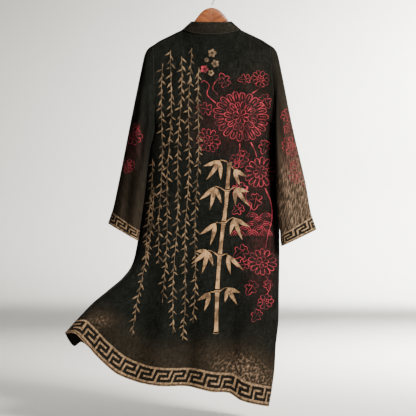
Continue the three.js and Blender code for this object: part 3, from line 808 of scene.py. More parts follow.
@dataclass(frozen=True)
class StonewashedLinen:
    """Slub linen, plain woven and piece dyed black, then stone washed.

    The dye sits on the yarn's outside, so the slubs and the rubbed places show brown and tan
    through it, and the same brown and tan paint a sheen highlight on the flare. Dry fibre gives
    it no gloss but a faint grey nap at the edges. Real threads are half a millimetre apart; they
    are drawn at a little over one so that they show.
    """

    name: str = "stonewashed_slub_linen"
    pitch: float = 1.2
    dark: str = "#040503"
    light: str = "#141513"
    fleck: str = "#1b1b18"
    # The brown and tan below are the colours of rubbed wear; on the flare they also paint a sheen highlight.
    rubbed: str = "#2d241b"
    bleached_and_sheen: str = "#5f4d3f"
    russet: str = "#371619"

    def make(self) -> Material:
        """Builds the material."""
        r = Recipe(self.name)
        height, slub = r.weave(self.pitch)
        cut = r.flat_cut()
        cloud = r.streaks(cut, (70, 95, 1), 3)
        fleck = r.streaks(cut, (4.5, 6, 1), 5)
        body = r.mix(r.spread(slub, 0.46, 0.68), self.dark, self.light)
        body = r.mix(r.spread(fleck, 0.56, 0.72, (0, 0.5)), body, self.fleck)
        body = r.mix(r.spread(cloud, 0.35, 0.7, (0, 0.6)), body, self.dark)
        # This attribute lightens the cloth to brown and tan: rubbed wear at the hem, sleeves and collar, and
        # a painted sheen highlight on the flare.
        fade = r.add("Attribute", attribute_name="fade").outputs["Fac"]
        red = r.add("Attribute", attribute_name="russet").outputs["Fac"]
        speck = r.streaks(cut, (9, 10.5, 1), 8)
        rub_and_sheen = r.math("MULTIPLY", fade, r.spread(speck, 0.36, 0.64, (0.4, 1.5)))
        rub_and_sheen = r.math("MULTIPLY", rub_and_sheen, r.spread(slub, 0.42, 0.7, (0.78, 1.22)))
        tone = r.mix(r.spread(rub_and_sheen, 0.45, 1.25), self.rubbed, self.bleached_and_sheen)
        body = r.mix(r.math("MINIMUM", rub_and_sheen, 1.0), body, tone)
        stain = r.math("MULTIPLY", red, r.spread(speck, 0.38, 0.62, (0.1, 1.0)))
        body = r.mix(stain, body, self.russet)
        r.set(Base_Color=body, Roughness=r.spread(slub, 0.3, 0.8, (0.95, 0.8)))
        r.set(Specular_IOR_Level=0.02, Sheen_Weight=0.01, Sheen_Roughness=0.5)
        r.set(Sheen_Tint=srgb("#a09c92"))
        r.bump(height, 0.16)
        return r.material


@dataclass(frozen=True)
class ScreenInk:
    """Pigment pushed through a screen on to coarse linen.

    It sits on the high threads and misses the hollows, so the dark cloth shows through as
    breaks along the weave, more where the print has worn.
    """

    name: str
    bright: str
    dull: str
    worn: float = 0.5  # 0 whole, 1 mostly rubbed away
    pitch: float = 1.2
    cloth: str = "#14140f"

    def make(self) -> Material:
        """Builds the material."""
        r = Recipe(self.name)
        height, slub = r.weave(self.pitch)
        cut = r.flat_cut()
        patch = r.streaks(cut, (26, 34, 1), 5)
        colour = r.mix(r.spread(patch, 0.38, 0.62), self.dull, self.bright)
        miss = r.spread(slub, 0.36 + 0.1 * self.worn, 0.5 + 0.14 * self.worn, (1, 0))
        thin = r.streaks(cut, (7, 9, 1), 5)
        gone = r.math("MULTIPLY", miss, r.spread(thin, 0.4, 0.65, (0.35, 1.0)), clamp=True)
        r.set(Base_Color=r.mix(gone, colour, self.cloth), Roughness=0.82)
        r.set(Specular_IOR_Level=0.06)
        r.bump(height, 0.3)
        return r.material


@dataclass(frozen=True)
class FretTape:
    """Jacquard border tape of black and undyed linen yarn, washed with the robe.

    A key fret of hooked spirals runs between two plain lines, seven blocks of thread high and
    seven long. The pale yarn is fuzzy and rubbed, so its edges step and speckle.
    """

    name: str
    pale: str = "#765f48"
    dull: str = "#3f3326"
    black: str = "#0b0906"
    blocks: int = 7
    key_share: float = 0.9  # of the tape's width: below it are a dark line and the selvedge
    line_share: float = 0.945

    def make(self) -> Material:
        """Builds the material: a key is the union of its bars, as distances in blocks."""
        bars = ((0, 1, 6, 2), (0, 1, 1, 6), (5, 1, 6, 4), (2, 3, 6, 4), (2, 3, 3, 6), (2, 5, 7, 6))
        r = Recipe(self.name)
        height, slub = r.weave(1.2)
        cut = r.flat_cut()
        fray = r.streaks(cut, (3.2, 3.2, 1), 2)
        edge = r.add("UVMap", uv_map="edge").outputs[0]
        place = r.add("SeparateXYZ", {0: edge})
        wobble = r.spread(fray, 0.25, 0.75, (-0.16, 0.16))
        along = r.math("MULTIPLY", r.math("FRACT", place.outputs[0]), float(self.blocks))
        down = r.math("MULTIPLY", place.outputs[1], self.blocks / self.key_share)
        frayed = {0: r.math("ADD", along, wobble), 1: r.math("SUBTRACT", down, wobble)}
        spot = r.add("CombineXYZ", frayed)
        nearest: object = 9.0
        for x0, y0, x1, y1 in bars:
            middle, half = ((x0 + x1) / 2, (y0 + y1) / 2, 0), ((x1 - x0) / 2, (y1 - y0) / 2, 0)
            off = r.add("VectorMath", {0: spot.outputs[0], 1: middle}, operation="SUBTRACT")
            off = r.add("VectorMath", {0: off.outputs[0]}, operation="ABSOLUTE")
            off = r.add("VectorMath", {0: off.outputs[0], 1: half}, operation="SUBTRACT")
            parts = r.add("SeparateXYZ", {0: off.outputs[0]})
            nearest = r.math("MINIMUM", nearest, r.math("MAXIMUM", parts.outputs[0], parts.outputs[1]))
        key = r.spread(nearest, 0.05, 0.2, (1, 0))
        inside = r.spread(place.outputs[1], self.key_share - 0.01, self.key_share + 0.01, (1, 0))
        line = r.spread(place.outputs[1], self.line_share - 0.01, self.line_share + 0.01, (1, 0))
        dark = r.math("MAXIMUM", r.math("MULTIPLY", key, inside), r.math("SUBTRACT", line, inside))
        rubbed = r.streaks(cut, (9, 11, 1), 4)
        pale = r.mix(r.spread(rubbed, 0.34, 0.66), self.dull, self.pale)
        pale = r.mix(r.spread(slub, 0.42, 0.54, (0.75, 0)), pale, self.black)
        pale = r.mix(r.spread(fray, 0.34, 0.48, (0.6, 0)), pale, self.black)
        r.set(Base_Color=r.mix(dark, pale, self.black), Roughness=0.9, Specular_IOR_Level=0.05)
        r.set(Sheen_Weight=0.015, Sheen_Roughness=0.5, Sheen_Tint=srgb("#a09c92"))
        r.bump(r.math("SUBTRACT", height, r.math("MULTIPLY", dark, 0.8)), 0.35)
        return r.material


@dataclass(frozen=True)
class LacqueredBeech:
    """Steam bent beech, sanded and satin lacquered.

    Warm straight grain follows the arm, with short darker flecks, under a thin even coat that
    gives a soft highlight along the rounded edge.
    """

    name: str
    lean: float  # fall of the grain along the arm, as a slope
    pale: str = "#753f16"
    warm: str = "#472008"
    fleck: str = "#3c1e08"

    def make(self) -> Material:
        """Builds the material on Object coordinates, turned to run down the arm."""
        r = Recipe(self.name)
        place = r.add("TexCoord").outputs["Object"]
        mapping = {"Vector": place, "Rotation": (0, self.lean, 0)}
        turned = r.add("Mapping", mapping).outputs[0]
        figure = r.streaks(turned, (90, 9, 5.5), 3)
        grain = r.streaks(turned, (38, 1.2, 0.9), 3)
        pores = r.streaks(turned, (7, 0.7, 0.55), 1)
        wood = r.mix(r.spread(figure, 0.3, 0.7), self.warm, self.pale)
        wood = r.mix(r.spread(grain, 0.44, 0.56, (0.85, 0)), wood, self.warm)
        wood = r.mix(r.spread(pores, 0.66, 0.8, (0, 0.7)), wood, self.fleck)
        r.set(Base_Color=wood, Roughness=r.spread(grain, 0.3, 0.7, (0.36, 0.5)))
        r.set(Coat_Weight=0.12, Coat_Roughness=0.3, Specular_IOR_Level=0.25)
        r.bump(r.math("SUBTRACT", grain, pores), 0.06)
        return r.material


@dataclass(frozen=True)
class ChromedWire:
    """Drawn steel wire, chrome plated and handled: bright, with a faint smear along it."""

    name: str = "chromed_steel_wire"

    def make(self) -> Material:
        """Builds the material."""
        r = Recipe(self.name)
        place = r.add("TexCoord").outputs["Object"]
        smear = r.streaks(place, (5, 5, 14), 3)
        draw = r.streaks(place, (0.5, 0.5, 12), 2)
        r.set(Base_Color=r.mix(r.spread(smear, 0.3, 0.7), "#8f9091", "#c3c4c5"), Metallic=1.0)
        r.set(Roughness=r.spread(smear, 0.35, 0.7, (0.16, 0.34)))
        r.bump(draw, 0.02)
        return r.material


@dataclass(frozen=True)
class SewingThread:
    """Spun polyester sewing thread, matt, its ply seen as a slanting light and dark."""

    name: str = "spun_sewing_thread"

    def make(self) -> Material:
        """Builds the material."""
        r = Recipe(self.name)
        place = r.add("TexCoord").outputs["Object"]
        ply = r.streaks(place, (0.5, 0.5, 0.5), 1)
        r.set(Base_Color=r.mix(r.spread(ply, 0.4, 0.6), "#15130f", "#3a352c"), Roughness=0.7)
        r.bump(ply, 0.08)
        return r.material


@dataclass(frozen=True)
class StudioPaper:
    """Seamless grey-white background paper: flat, with a barely seen cloudiness."""

    name: str = "background_paper"
    tone: str = "#bdbdb9"
    cloud: str = "#b6b6b1"

    def make(self) -> Material:
        """Builds the material."""
        r = Recipe(self.name)
        place = r.add("TexCoord").outputs["Object"]
        cloud = r.streaks(place, (900, 900, 900), 3)
        r.set(Base_Color=r.mix(r.spread(cloud, 0.3, 0.7, (0, 0.3)), self.tone, self.cloud), Roughness=0.95)
        return r.material


# ---------------- the robe's cut pieces
def evenly(low: float, high: float, count: int) -> Array:
    """count + 1 even places from low to high."""
    return np.linspace(low, high, count + 1)


class Held(Enum):
    """How a piece of cloth is held."""

    HUNG = "hung"
    FOLDED = "folded"


@dataclass(frozen=True)
class Cut:
    """A sheet as cut before hanging: what shows of it, in metres."""

    wide: float
    long: float
    area: float
    held: Held = Held.HUNG


@dataclass
class Bodice:
    """Back and fronts: long panels, flared and blown at the left hem, with fret tape below."""

    thick: float = 1.1
    tape_thick: float = 0.6
    tape_out: float = 0.95
    back_columns: int = 160
    front_columns: int = 80
    armhole_rows: int = 44
    side_rows: int = 124
    tape_rows: int = 12
    key_long: float = 58.0  # one key of the fret on the hem
    wash_from: float = 0.83  # share of the way down where the hem's wash begins
    wash_over: float = 0.1  # and over which it deepens
    hem_fade: Rows = Rows(
        "x fade",
        (
            (-230, 0.5), (-120, 0.58), (-30, 0.48), (40, 0.27), (130, 0.28), (220, 0.32), (300, 0.18),
            (500, 0.05),
        ),
    )
    back: Cloth = field(init=False)
    fronts: dict[int, Cloth] = field(init=False)

    def __post_init__(self) -> None:
        """Lays out the three panels."""
        around = evenly(-math.pi / 2, math.pi / 2, self.back_columns)
        self.back = self.panel(FORM.back, around, (0, -1), self.back_columns // 2)
        half = evenly(FORM.neck_at, math.pi / 2, self.front_columns)
        self.fronts = {
            side: self.panel(partial(FORM.front, side), half, (-1,), 0) for side in (LEFT, RIGHT)
        }

    def shares(self) -> Array:
        """Rows from shoulder to hem, crowded at both ends of the armhole."""
        band = FORM.band_share
        turn = math.pi * np.arange(self.armhole_rows) / self.armhole_rows
        arm = FORM.armhole_share * (1 - np.cos(turn)) / 2
        side = evenly(FORM.armhole_share, 1 - band, self.side_rows)[:-1]
        return np.concatenate([arm, side, evenly(1 - band, 1, self.tape_rows)])

    def panel(self, point: Callable, angles: Array, seams: tuple[int, ...], centre: int) -> Cloth:
        """One panel, its seams squared.

        Args:
            point: the rule that gives its points.
            angles: column angles.
            seams: columns that are armhole and side seams.
            centre: the column that the cut is measured from.

        Returns:
            The panel's grid.
        """
        phi, v = np.meshgrid(angles, self.shares())
        cloth = Cloth(point(phi, v), centre_column=centre)
        on_shoulder = np.abs(cloth.points[0, :, 1]) < 1
        cloth.square_seams(1, (0, on_shoulder))
        for seam in seams:
            cloth.square_seams(0, (slice(1, self.armhole_rows), seam))
            cloth.square_seams(1, (slice(self.armhole_rows, None), seam))
        return cloth

    def wear(self, cloth: Cloth) -> dict[str, Array]:
        """Where the wash rubbed the dye off, plus a painted sheen highlight on the flare, and where red has
        bled under the flowers.
        """
        x, z = cloth.points[..., 0], cloth.points[..., 2]
        v = self.shares()[:, None] + 0 * x
        low = self.hem_fade.follow("fade", x) * smooth((v - self.wash_from) / self.wash_over)
        # The first value is rubbed wear at the hem together with a painted sheen highlight on the flare.
        return {"fade": low + patches(WEAR_AND_SHEEN_PATCHES, x, z), "russet": patches(BLED, x, z)}

    def edge(self, strip: Cloth, start: float, sense: int) -> Array:
        """Place along and across the tape: keys counted from start, and 0 top to 1 hem."""
        middle = np.linalg.norm(np.diff(strip.points[len(strip.points) // 2], axis=0), axis=1)
        along = start + sense * np.concatenate([[0], np.cumsum(middle)]) / self.key_long
        across = evenly(0, 1, len(strip.points) - 1)
        return np.stack(np.meshgrid(along, across), axis=2)

    def build(self, shop: "Workshop") -> None:
        for name, cloth, side in (
            ("back", self.back, 0),
            ("front_left", self.fronts[LEFT], LEFT),
            ("front_right", self.fronts[RIGHT], RIGHT),
        ):
            panel = shell(f"{name}_panel", cloth, self.thick, values=self.wear(cloth))
            shop.finish(panel, shop.linen, "robe_linen", name)
            strip = cloth.last_rows(self.tape_rows)
            keys = strip.cut[len(strip.points) // 2]
            length = float(keys[-1, 0] - keys[0, 0]) / self.key_long
            back_length = self.tape_length(self.back)
            start, sense = {0: (back_length, -1), LEFT: (-length, 1), RIGHT: (back_length + length, -1)}[side]
            tape = shell(
                f"hem_tape_{name}",
                strip,
                self.tape_thick,
                self.tape_out,
                {"edge": self.edge(strip, start, sense)},
            )
            shop.finish(tape, shop.fret, "fret_band", f"hem_band_{name}")
            shop.sheets.append((panel, name, cloth, [tape]))

    def tape_length(self, cloth: Cloth) -> float:
        """How many keys fit along a panel's hem."""
        row = cloth.points[-1 - self.tape_rows // 2]
        return float(np.linalg.norm(np.diff(row, axis=0), axis=1).sum()) / self.key_long


@dataclass
class Sleeves:
    """Two straight sleeves hung from the dropped armholes, with fret tape round the cuffs."""

    thick: float = 1.1
    tape_thick: float = 0.6
    tape_out: float = 1.25
    around: int = 112
    rows: int = 116
    crowd: float = 1.1
    tape_rows: int = 10
    keys_round: int = 7
    fade: dict[int, Rows] = field(
        default_factory=lambda: {
            LEFT: Rows(
                "s fade", ((0, 0.0), (0.3, 0.04), (0.5, 0.16), (0.7, 0.28), (0.85, 0.34), (1, 0.4))
            ),
            RIGHT: Rows(
                "s fade", ((0, 0.06), (0.2, 0.16), (0.38, 0.38), (0.55, 0.6), (0.75, 0.68), (1, 0.66))
            ),
        }
    )
    tubes: dict[int, Cloth] = field(init=False)

    def __post_init__(self) -> None:
        """Lays out the two tubes."""
        self.tubes = {}
        for side in (LEFT, RIGHT):
            theta, s = np.meshgrid(evenly(0, 2 * math.pi, self.around), self.shares())
            cloth = Cloth(FORM.sleeve(side, s, theta), wrap=True, centre_column=0)
            cloth.square_seams(0, (0, slice(None)))
            self.tubes[side] = cloth

    def shares(self) -> Array:
        """Rows from armhole to cuff."""
        cuff = FORM.cuff_share
        upper = (1 - cuff) * (np.arange(self.rows) / self.rows) ** self.crowd
        return np.concatenate([upper, evenly(1 - cuff, 1, self.tape_rows)])

    def back_half(self, side: int) -> Cloth:
        """The half of a sleeve that faces back, for prints."""
        tube = self.tubes[side]
        half = Cloth(tube.points[:, : self.around // 2 + 1])
        half.normals = tube.normals[:, : self.around // 2 + 1]
        half.cut = tube.cut[:, : self.around // 2 + 1]
        return half

    def build(self, shop: "Workshop") -> None:
        for side, word in SIDES:
            tube = self.tubes[side]
            x, z = tube.points[..., 0], tube.points[..., 2]
            s = self.shares()[:, None] + 0 * x
            values = {"fade": self.fade[side].follow("fade", s), "russet": patches(BLED, x, z)}
            sleeve = shell(f"sleeve_{word}_tube", tube, self.thick, values=values)
            shop.finish(sleeve, shop.linen, "robe_linen", f"sleeve_{word}")
            strip = tube.last_rows(self.tape_rows)
            along = evenly(0, self.keys_round, self.around) * side
            edge = np.stack(np.meshgrid(along, evenly(0, 1, self.tape_rows)), axis=2)
            tape = shell(f"cuff_tape_{word}", strip, self.tape_thick, self.tape_out, {"edge": edge})
            shop.finish(tape, shop.cuff_fret, "fret_band", f"cuff_band_{word}")
            shop.sheets.append((sleeve, f"sleeve_{word}", tube, [tape]))


@dataclass
class Neckband:
    """One long band folded double: up the left front, round the neck, down the right front."""

    wide: float = 40.0
    up: float = 42.0  # how high it stands behind the neck
    lean_in: float = 6.0
    side: tuple[float, float, float] = (-30.0, 0.0, 27.0)  # how it leans at the side of the neck
    turn: float = 0.11  # share of the front over which it turns from upright to flat
    flat_step: float = 0.05  # angle to the next column, which says how the front lies
    gap: float = -0.5  # between the seam and the band
    thick: float = 2.0
    wash: float = 0.14
    wash_at: tuple[float, float] = (-170.0, 40.0)  # where its wash begins, and over how much
    neck_columns: int = 56
    across: int = 8
    strip: Cloth = field(init=False)

    def __post_init__(self) -> None:
        """Lays out the band, station by station along its seam."""
        shares = Bodice(back_columns=4, front_columns=2).shares()[1:]
        seams, leans, wides = [], [], []
        for side in (LEFT, RIGHT):
            seam = FORM.front(side, np.array(FORM.neck_at), shares)
            flat = seam - FORM.front(side, np.array(FORM.neck_at + self.flat_step), shares)
            upright = unit(np.array(self.side) * (side, 1, 1))
            lean = unit(lerp(upright, unit(flat), smooth(shares / self.turn)[:, None]))
            order = slice(None, None, -1) if side == LEFT else slice(None)
            seams.append(seam[order])
            leans.append(lean[order])
            wides.append(np.full(len(shares), self.wide))
        phi = evenly(FORM.neck_at, -FORM.neck_at, self.neck_columns)
        neck = np.stack(FORM.top_seam(phi), axis=1)
        share = neck[:, 0] / FORM.neck_half
        up = lerp(self.up, self.side[2], share * share)
        lean = np.stack([share * self.side[0], self.lean_in * (np.abs(share) - 1), up], axis=1)
        seams.insert(1, neck)
        leans.insert(1, unit(lean))
        wides.insert(1, np.linalg.norm(lean, axis=1))
        seam, lean, wide = (np.concatenate(part) for part in (seams, leans, wides))
        w = evenly(0, 1, self.across)[:, None, None]
        self.strip = Cloth(seam + lean * lerp(self.gap, wide[:, None], w), centre_column=len(seam) // 2)
        if self.strip.normals[:, len(seam) // 2, 1].sum() < 0:
            self.strip.normals = -self.strip.normals

    def build(self, shop: "Workshop") -> None:
        x, z = self.strip.points[..., 0], self.strip.points[..., 2]
        start, over = self.wash_at
        values = {"fade": self.wash * smooth((z - start) / over), "russet": 0 * x}
        band = shell("neckband", self.strip, self.thick, values=values)
        shop.finish(band, shop.linen, "robe_linen", "collar")
        shop.sheets.append((band, "collar", self.strip, []))


def unit(vectors: Array) -> Array:
    """The vectors at length one."""
    return vectors / np.linalg.norm(vectors, axis=-1, keepdims=True)


def patches(rows: Sequence[tuple[float, ...]], x: Array, z: Array) -> Array:
    """Soft round patches, each (x, z, half wide, half high, amount), the strongest at a place."""
    total = np.zeros(np.broadcast(x, z).shape)
    for x0, z0, wide, high, amount in rows:
        total = np.maximum(total, amount * np.exp(-(((x - x0) / wide) ** 2) - ((z - z0) / high) ** 2))
    return total


# Soft patches that lighten the cloth: the first two, on the flare, paint a sheen highlight where the flare
# turns up to the light; the rest lighten it at the hem and on the upper back.
WEAR_AND_SHEEN_PATCHES = (
    (360, -1086, 52, 28, 0.46), (408, -1085, 30, 26, 0.2), (-120, -1215, 60, 70, 0.22),
    (20, -1190, 60, 50, 0.12), (60, -430, 60, 80, 0.05), (-150, -330, 50, 120, 0.08),
)
BLED = (
    (-78, -440, 105, 95, 0.4), (-150, -620, 60, 80, 0.35), (-165, -860, 45, 130, 0.4),
    (262, -520, 34, 70, 0.4), (-262, -540, 30, 90, 0.5), (20, -500, 50, 40, 0.2),
)


# ---------------- hanger
@dataclass
class Hanger:
    """Two contoured arms glued at the middle, and the wire hook that the part hangs by."""

    half_thick: float = 5.6
    halves_gap: float = 0.02  # of each arm from the glue line
    fullness: float = 0.78  # power on the section's sine and cosine: 1 is an ellipse
    section: int = 40
    hump: Rows = Rows(
        "x top bottom",
        (
            (0, -62, -124), (10, -63.4, -124), (21, -67.5, -123), (32, -75.5, -122), (42, -86, -123),
            (51, -98, -128), (59, -109, -134), (68, -117, -142), (82, -130, -154), (96.5, -137.4, -162.4),
            (117, -146.6, -171.6), (138, -157.4, -182.4), (154, -165.3, -190.3), (170, -173.4, -197.4),
            (182, -180.6, -203.6), (193, -188.4, -208.4), (200, -195, -212), (205, -201, -212.5),
            (208, -205.5, -211),
        ),
    )
    wire: float = 3.8
    inner: float = 19.0  # radius inside the hook
    foot: float = -61.6
    straight: float = 8.0  # of the stem, above its foot
    first_turn: float = -1.15
    last_turn: float = 3.25
    turns: int = 72
    wire_sides: int = 20

    def arm(self, side: int) -> tuple[Array, Array]:
        """Points and quads of one arm, its ends rounded over."""
        x = np.concatenate([evenly(0, 0.6, 2), evenly(1.6, 204, 84), [205.5, 206.8, 207.6, 208]])
        top, bottom = self.hump.follow("top", x), self.hump.follow("bottom", x)
        middle, half = (top + bottom) / 2, (top - bottom) / 2
        swell = np.ones(len(x))
        swell[0], swell[1] = 0.97, 0.99
        swell[-4:] = (0.92, 0.75, 0.5, 0.12)
        turn = 2 * math.pi * np.arange(self.section) / self.section
        round_y = np.sign(np.sin(turn)) * np.abs(np.sin(turn)) ** self.fullness
        round_z = np.sign(np.cos(turn)) * np.abs(np.cos(turn)) ** self.fullness
        ring = np.stack(
            [
                np.repeat((side * (x + self.halves_gap))[:, None], self.section, axis=1),
                self.half_thick * swell[:, None] * round_y,
                middle[:, None] + half[:, None] * np.sqrt(swell)[:, None] * round_z,
            ],
            axis=2,
        )
        return closed_loft(ring)

    def hook(self) -> tuple[Array, Array]:
        """Points and quads of the hook: stem, bow and a rounded nose."""
        radius = self.inner + self.wire / 2
        turn = evenly(self.first_turn, self.last_turn, self.turns)
        bow = np.stack([-radius * np.cos(turn), 0 * turn, radius * np.sin(turn) - self.inner], axis=1)
        stem = [np.array([0, 0, z]) for z in (self.foot, self.foot + self.straight)]
        knots = np.concatenate([stem, bow[::6]])
        path = catmull(knots, 8)
        tangent = unit(np.gradient(path, axis=0))
        beside = np.cross(tangent, (0.0, 1.0, 0.0))
        angle = 2 * math.pi * np.arange(self.wire_sides) / self.wire_sides
        reach = np.full(len(path), self.wire / 2)
        reach[-4:] *= (0.98, 0.88, 0.66, 0.2)
        cos, sin = np.cos(angle)[None, :, None], np.sin(angle)[None, :, None]
        around = beside[:, None] * cos + np.array([0, 1.0, 0]) * sin
        return closed_loft(path[:, None] + around * reach[:, None, None])

    def build(self, shop: "Workshop") -> None:
        """Makes arms and hook in place of the solids."""
        for side, word in SIDES:
            points, faces = self.arm(side)
            piece = write_mesh(f"beech_arm_{word}", points, faces)
            shop.finish(piece, shop.wood[side], "hanger_wood", f"hanger_arm_{word}")
        points, faces = self.hook()
        piece = write_mesh("wire_hook", points, faces)
        shop.finish(piece, shop.chrome, "hook_steel", "hanger_hook")


def catmull(knots: Array, steps: int) -> Array:
    """A smooth path through the knots, steps to a span."""
    padded = np.concatenate([[2 * knots[0] - knots[1]], knots, [2 * knots[-1] - knots[-2]]])
    t = np.arange(steps)[:, None] / steps
    spans = []
    for a, b, c, d in zip(padded, padded[1:], padded[2:], padded[3:]):
        square, cube = 2 * a - 5 * b + 4 * c - d, 3 * b - a - 3 * c + d
        spans.append(0.5 * (2 * b + (c - a) * t + square * t**2 + cube * t**3))
    return np.concatenate([*spans, knots[-1:]])


def closed_loft(rings: Array) -> tuple[Array, Array]:
    """Points and quads of a loft through rings, closed at both ends by a ring drawn in."""
    caps = [rings[k].mean(axis=0) + 1e-3 * (rings[k] - rings[k].mean(axis=0)) for k in (0, -1)]
    rings = np.concatenate([caps[0][None], rings, caps[1][None]])
    count, sides = rings.shape[:2]
    i, j = np.meshgrid(np.arange(count - 1), np.arange(sides), indexing="ij")
    after = (j + 1) % sides
    corners = (i * sides + j, i * sides + after, (i + 1) * sides + after, (i + 1) * sides + j)
    faces = np.stack(corners, axis=-1).reshape(-1, 4)
    for first in (0, (count - 1) * sides):
        ends = [(first, first + k, first + k + 1, first + k + 2) for k in range(1, sides - 2, 2)]
        ends = np.array(ends)
        faces = np.concatenate([faces, ends[:, ::-1] if first == 0 else ends])
    return rings.reshape(-1, 3), faces


# ---------------- repeats, by Geometry Nodes
@dataclass
class Repeat:
    """A node tree that repeats one shape, and what it gives as a plain mesh."""

    name: str
    tree: bpy.types.NodeTree = field(init=False)
    source: bpy.types.Node = field(init=False)
    inputs: dict[str, str] = field(default_factory=dict)

    def __post_init__(self) -> None:
        """Makes the tree with its geometry input and output."""
        self.tree = bpy.data.node_groups.new(self.name, "GeometryNodeTree")
        self.tree.interface.new_socket("Geometry", in_out="OUTPUT", socket_type="NodeSocketGeometry")
        self.add_input("Geometry", "NodeSocketGeometry")
        self.source = self.tree.nodes.new("NodeGroupInput")

    def add_input(self, name: str, kind: str) -> None:
        """Adds one named input."""
        self.inputs[name] = self.tree.interface.new_socket(name, in_out="INPUT", socket_type=kind).identifier

    def add(self, kind: str, inputs: dict | None = None, **settings: object) -> bpy.types.Node:
        """Adds a node to the tree, fed by the names of inputs where text is given."""
        fed = {}
        for key, value in (inputs or {}).items():
            named = isinstance(value, str) and not isinstance(value, Word)
            fed[key] = self.source.outputs[value] if named else value
        return node(self.tree, kind, fed, **settings)

    def close(self, instances: bpy.types.Node) -> None:
        """Realizes the instances, gives them their material and ends the tree."""
        real = self.add("GeometryNodeRealizeInstances", {0: instances.outputs[0]})
        dressed = self.add("GeometryNodeSetMaterial", {0: real.outputs[0], "Material": "Material"})
        self.add("NodeGroupOutput", {0: dressed.outputs[0]})

    def run(self, mesh: bpy.types.Mesh, values: dict[str, object]) -> bpy.types.Mesh:
        """The tree's result on a mesh.

        Args:
            mesh: points or lines that the shape is repeated on.
            values: the tree's inputs by name.

        Returns:
            A plain mesh.
        """
        carrier = linked(f"{self.name}_carrier", mesh)
        modifier = carrier.modifiers.new(self.name, "NODES")
        modifier.node_group = self.tree
        for key, value in values.items():
            modifier[self.inputs[key]] = value
        evaluated = carrier.evaluated_get(bpy.context.evaluated_depsgraph_get())
        made = bpy.data.meshes.new_from_object(evaluated)
        carrier.modifiers.clear()
        bpy.data.objects.remove(carrier)
        return made


class Scatter(Repeat):
    """Repeats a flat motif on points that carry their own turn and size."""

    def __init__(self) -> None:
        """Builds the tree."""
        super().__init__("scatter_motif")
        for name, kind in (("Motif", "Object"), ("Sway", "Float"), ("Seed", "Int"), ("Material", "Material")):
            self.add_input(name, f"NodeSocket{kind}")
        shape = self.add("GeometryNodeObjectInfo", {"Object": "Motif"})
        turn = self.add("GeometryNodeInputNamedAttribute", {"Name": Word("turn")}, data_type="FLOAT")
        size = self.add("GeometryNodeInputNamedAttribute", {"Name": Word("size")}, data_type="FLOAT_VECTOR")
        back = self.add("ShaderNodeMath", {0: "Sway", 1: -1.0}, operation="MULTIPLY")
        chance = self.add(
            "FunctionNodeRandomValue", {2: back.outputs[0], 3: "Sway", "Seed": "Seed"}, data_type="FLOAT"
        )
        total = self.add("ShaderNodeMath", {0: turn.outputs[0], 1: chance.outputs[1]}, operation="ADD")
        euler = self.add("ShaderNodeCombineXYZ", {2: total.outputs[0]})
        turned = self.add("FunctionNodeEulerToRotation", {0: euler.outputs[0]})
        self.close(
            self.add(
                "GeometryNodeInstanceOnPoints",
                {
                    "Points": "Geometry",
                    "Instance": shape.outputs["Geometry"],
                    "Rotation": turned.outputs[0],
                    "Scale": size.outputs[0],
                },
            )
        )

    def spread(self, motif: "Flat", spots: Array, sway: float, seed: int, ink: Material) -> "Flat":
        """The motif on every spot.

        Args:
            motif: the flat shape.
            spots: rows of x, z, turn, width scale and height scale.
            sway: random turn added, in radians.
            seed: its seed.
            ink: the material.

        Returns:
            All the shapes as one.
        """
        mesh = bpy.data.meshes.new("spots")
        mesh.from_pydata([(x, z, 0) for x, z in spots[:, :2]], [], [])
        turn = mesh.attributes.new("turn", "FLOAT", "POINT")
        turn.data.foreach_set("value", spots[:, 2].astype(np.float32))
        size = mesh.attributes.new("size", "FLOAT_VECTOR", "POINT")
        sizes = np.column_stack([spots[:, 3:5], np.ones(len(spots))])
        size.data.foreach_set("vector", sizes.astype(np.float32).ravel())
        shape = bpy.data.meshes.new("motif")
        shape.from_pydata([(x, z, 0) for x, z in motif.points], [], motif.faces.tolist())
        holder = linked("motif", shape)
        made = self.run(mesh, {"Motif": holder, "Sway": sway, "Seed": seed, "Material": ink})
        points = np.empty(len(made.vertices) * 3)
        made.vertices.foreach_get("co", points)
        faces = np.empty(len(made.loops), int)
        made.loops.foreach_get("vertex_index", faces)
        bpy.data.objects.remove(holder)
        return Flat(points.reshape(-1, 3)[:, :2], faces.reshape(-1, 4))


class Word(str):
    """Text for a socket."""


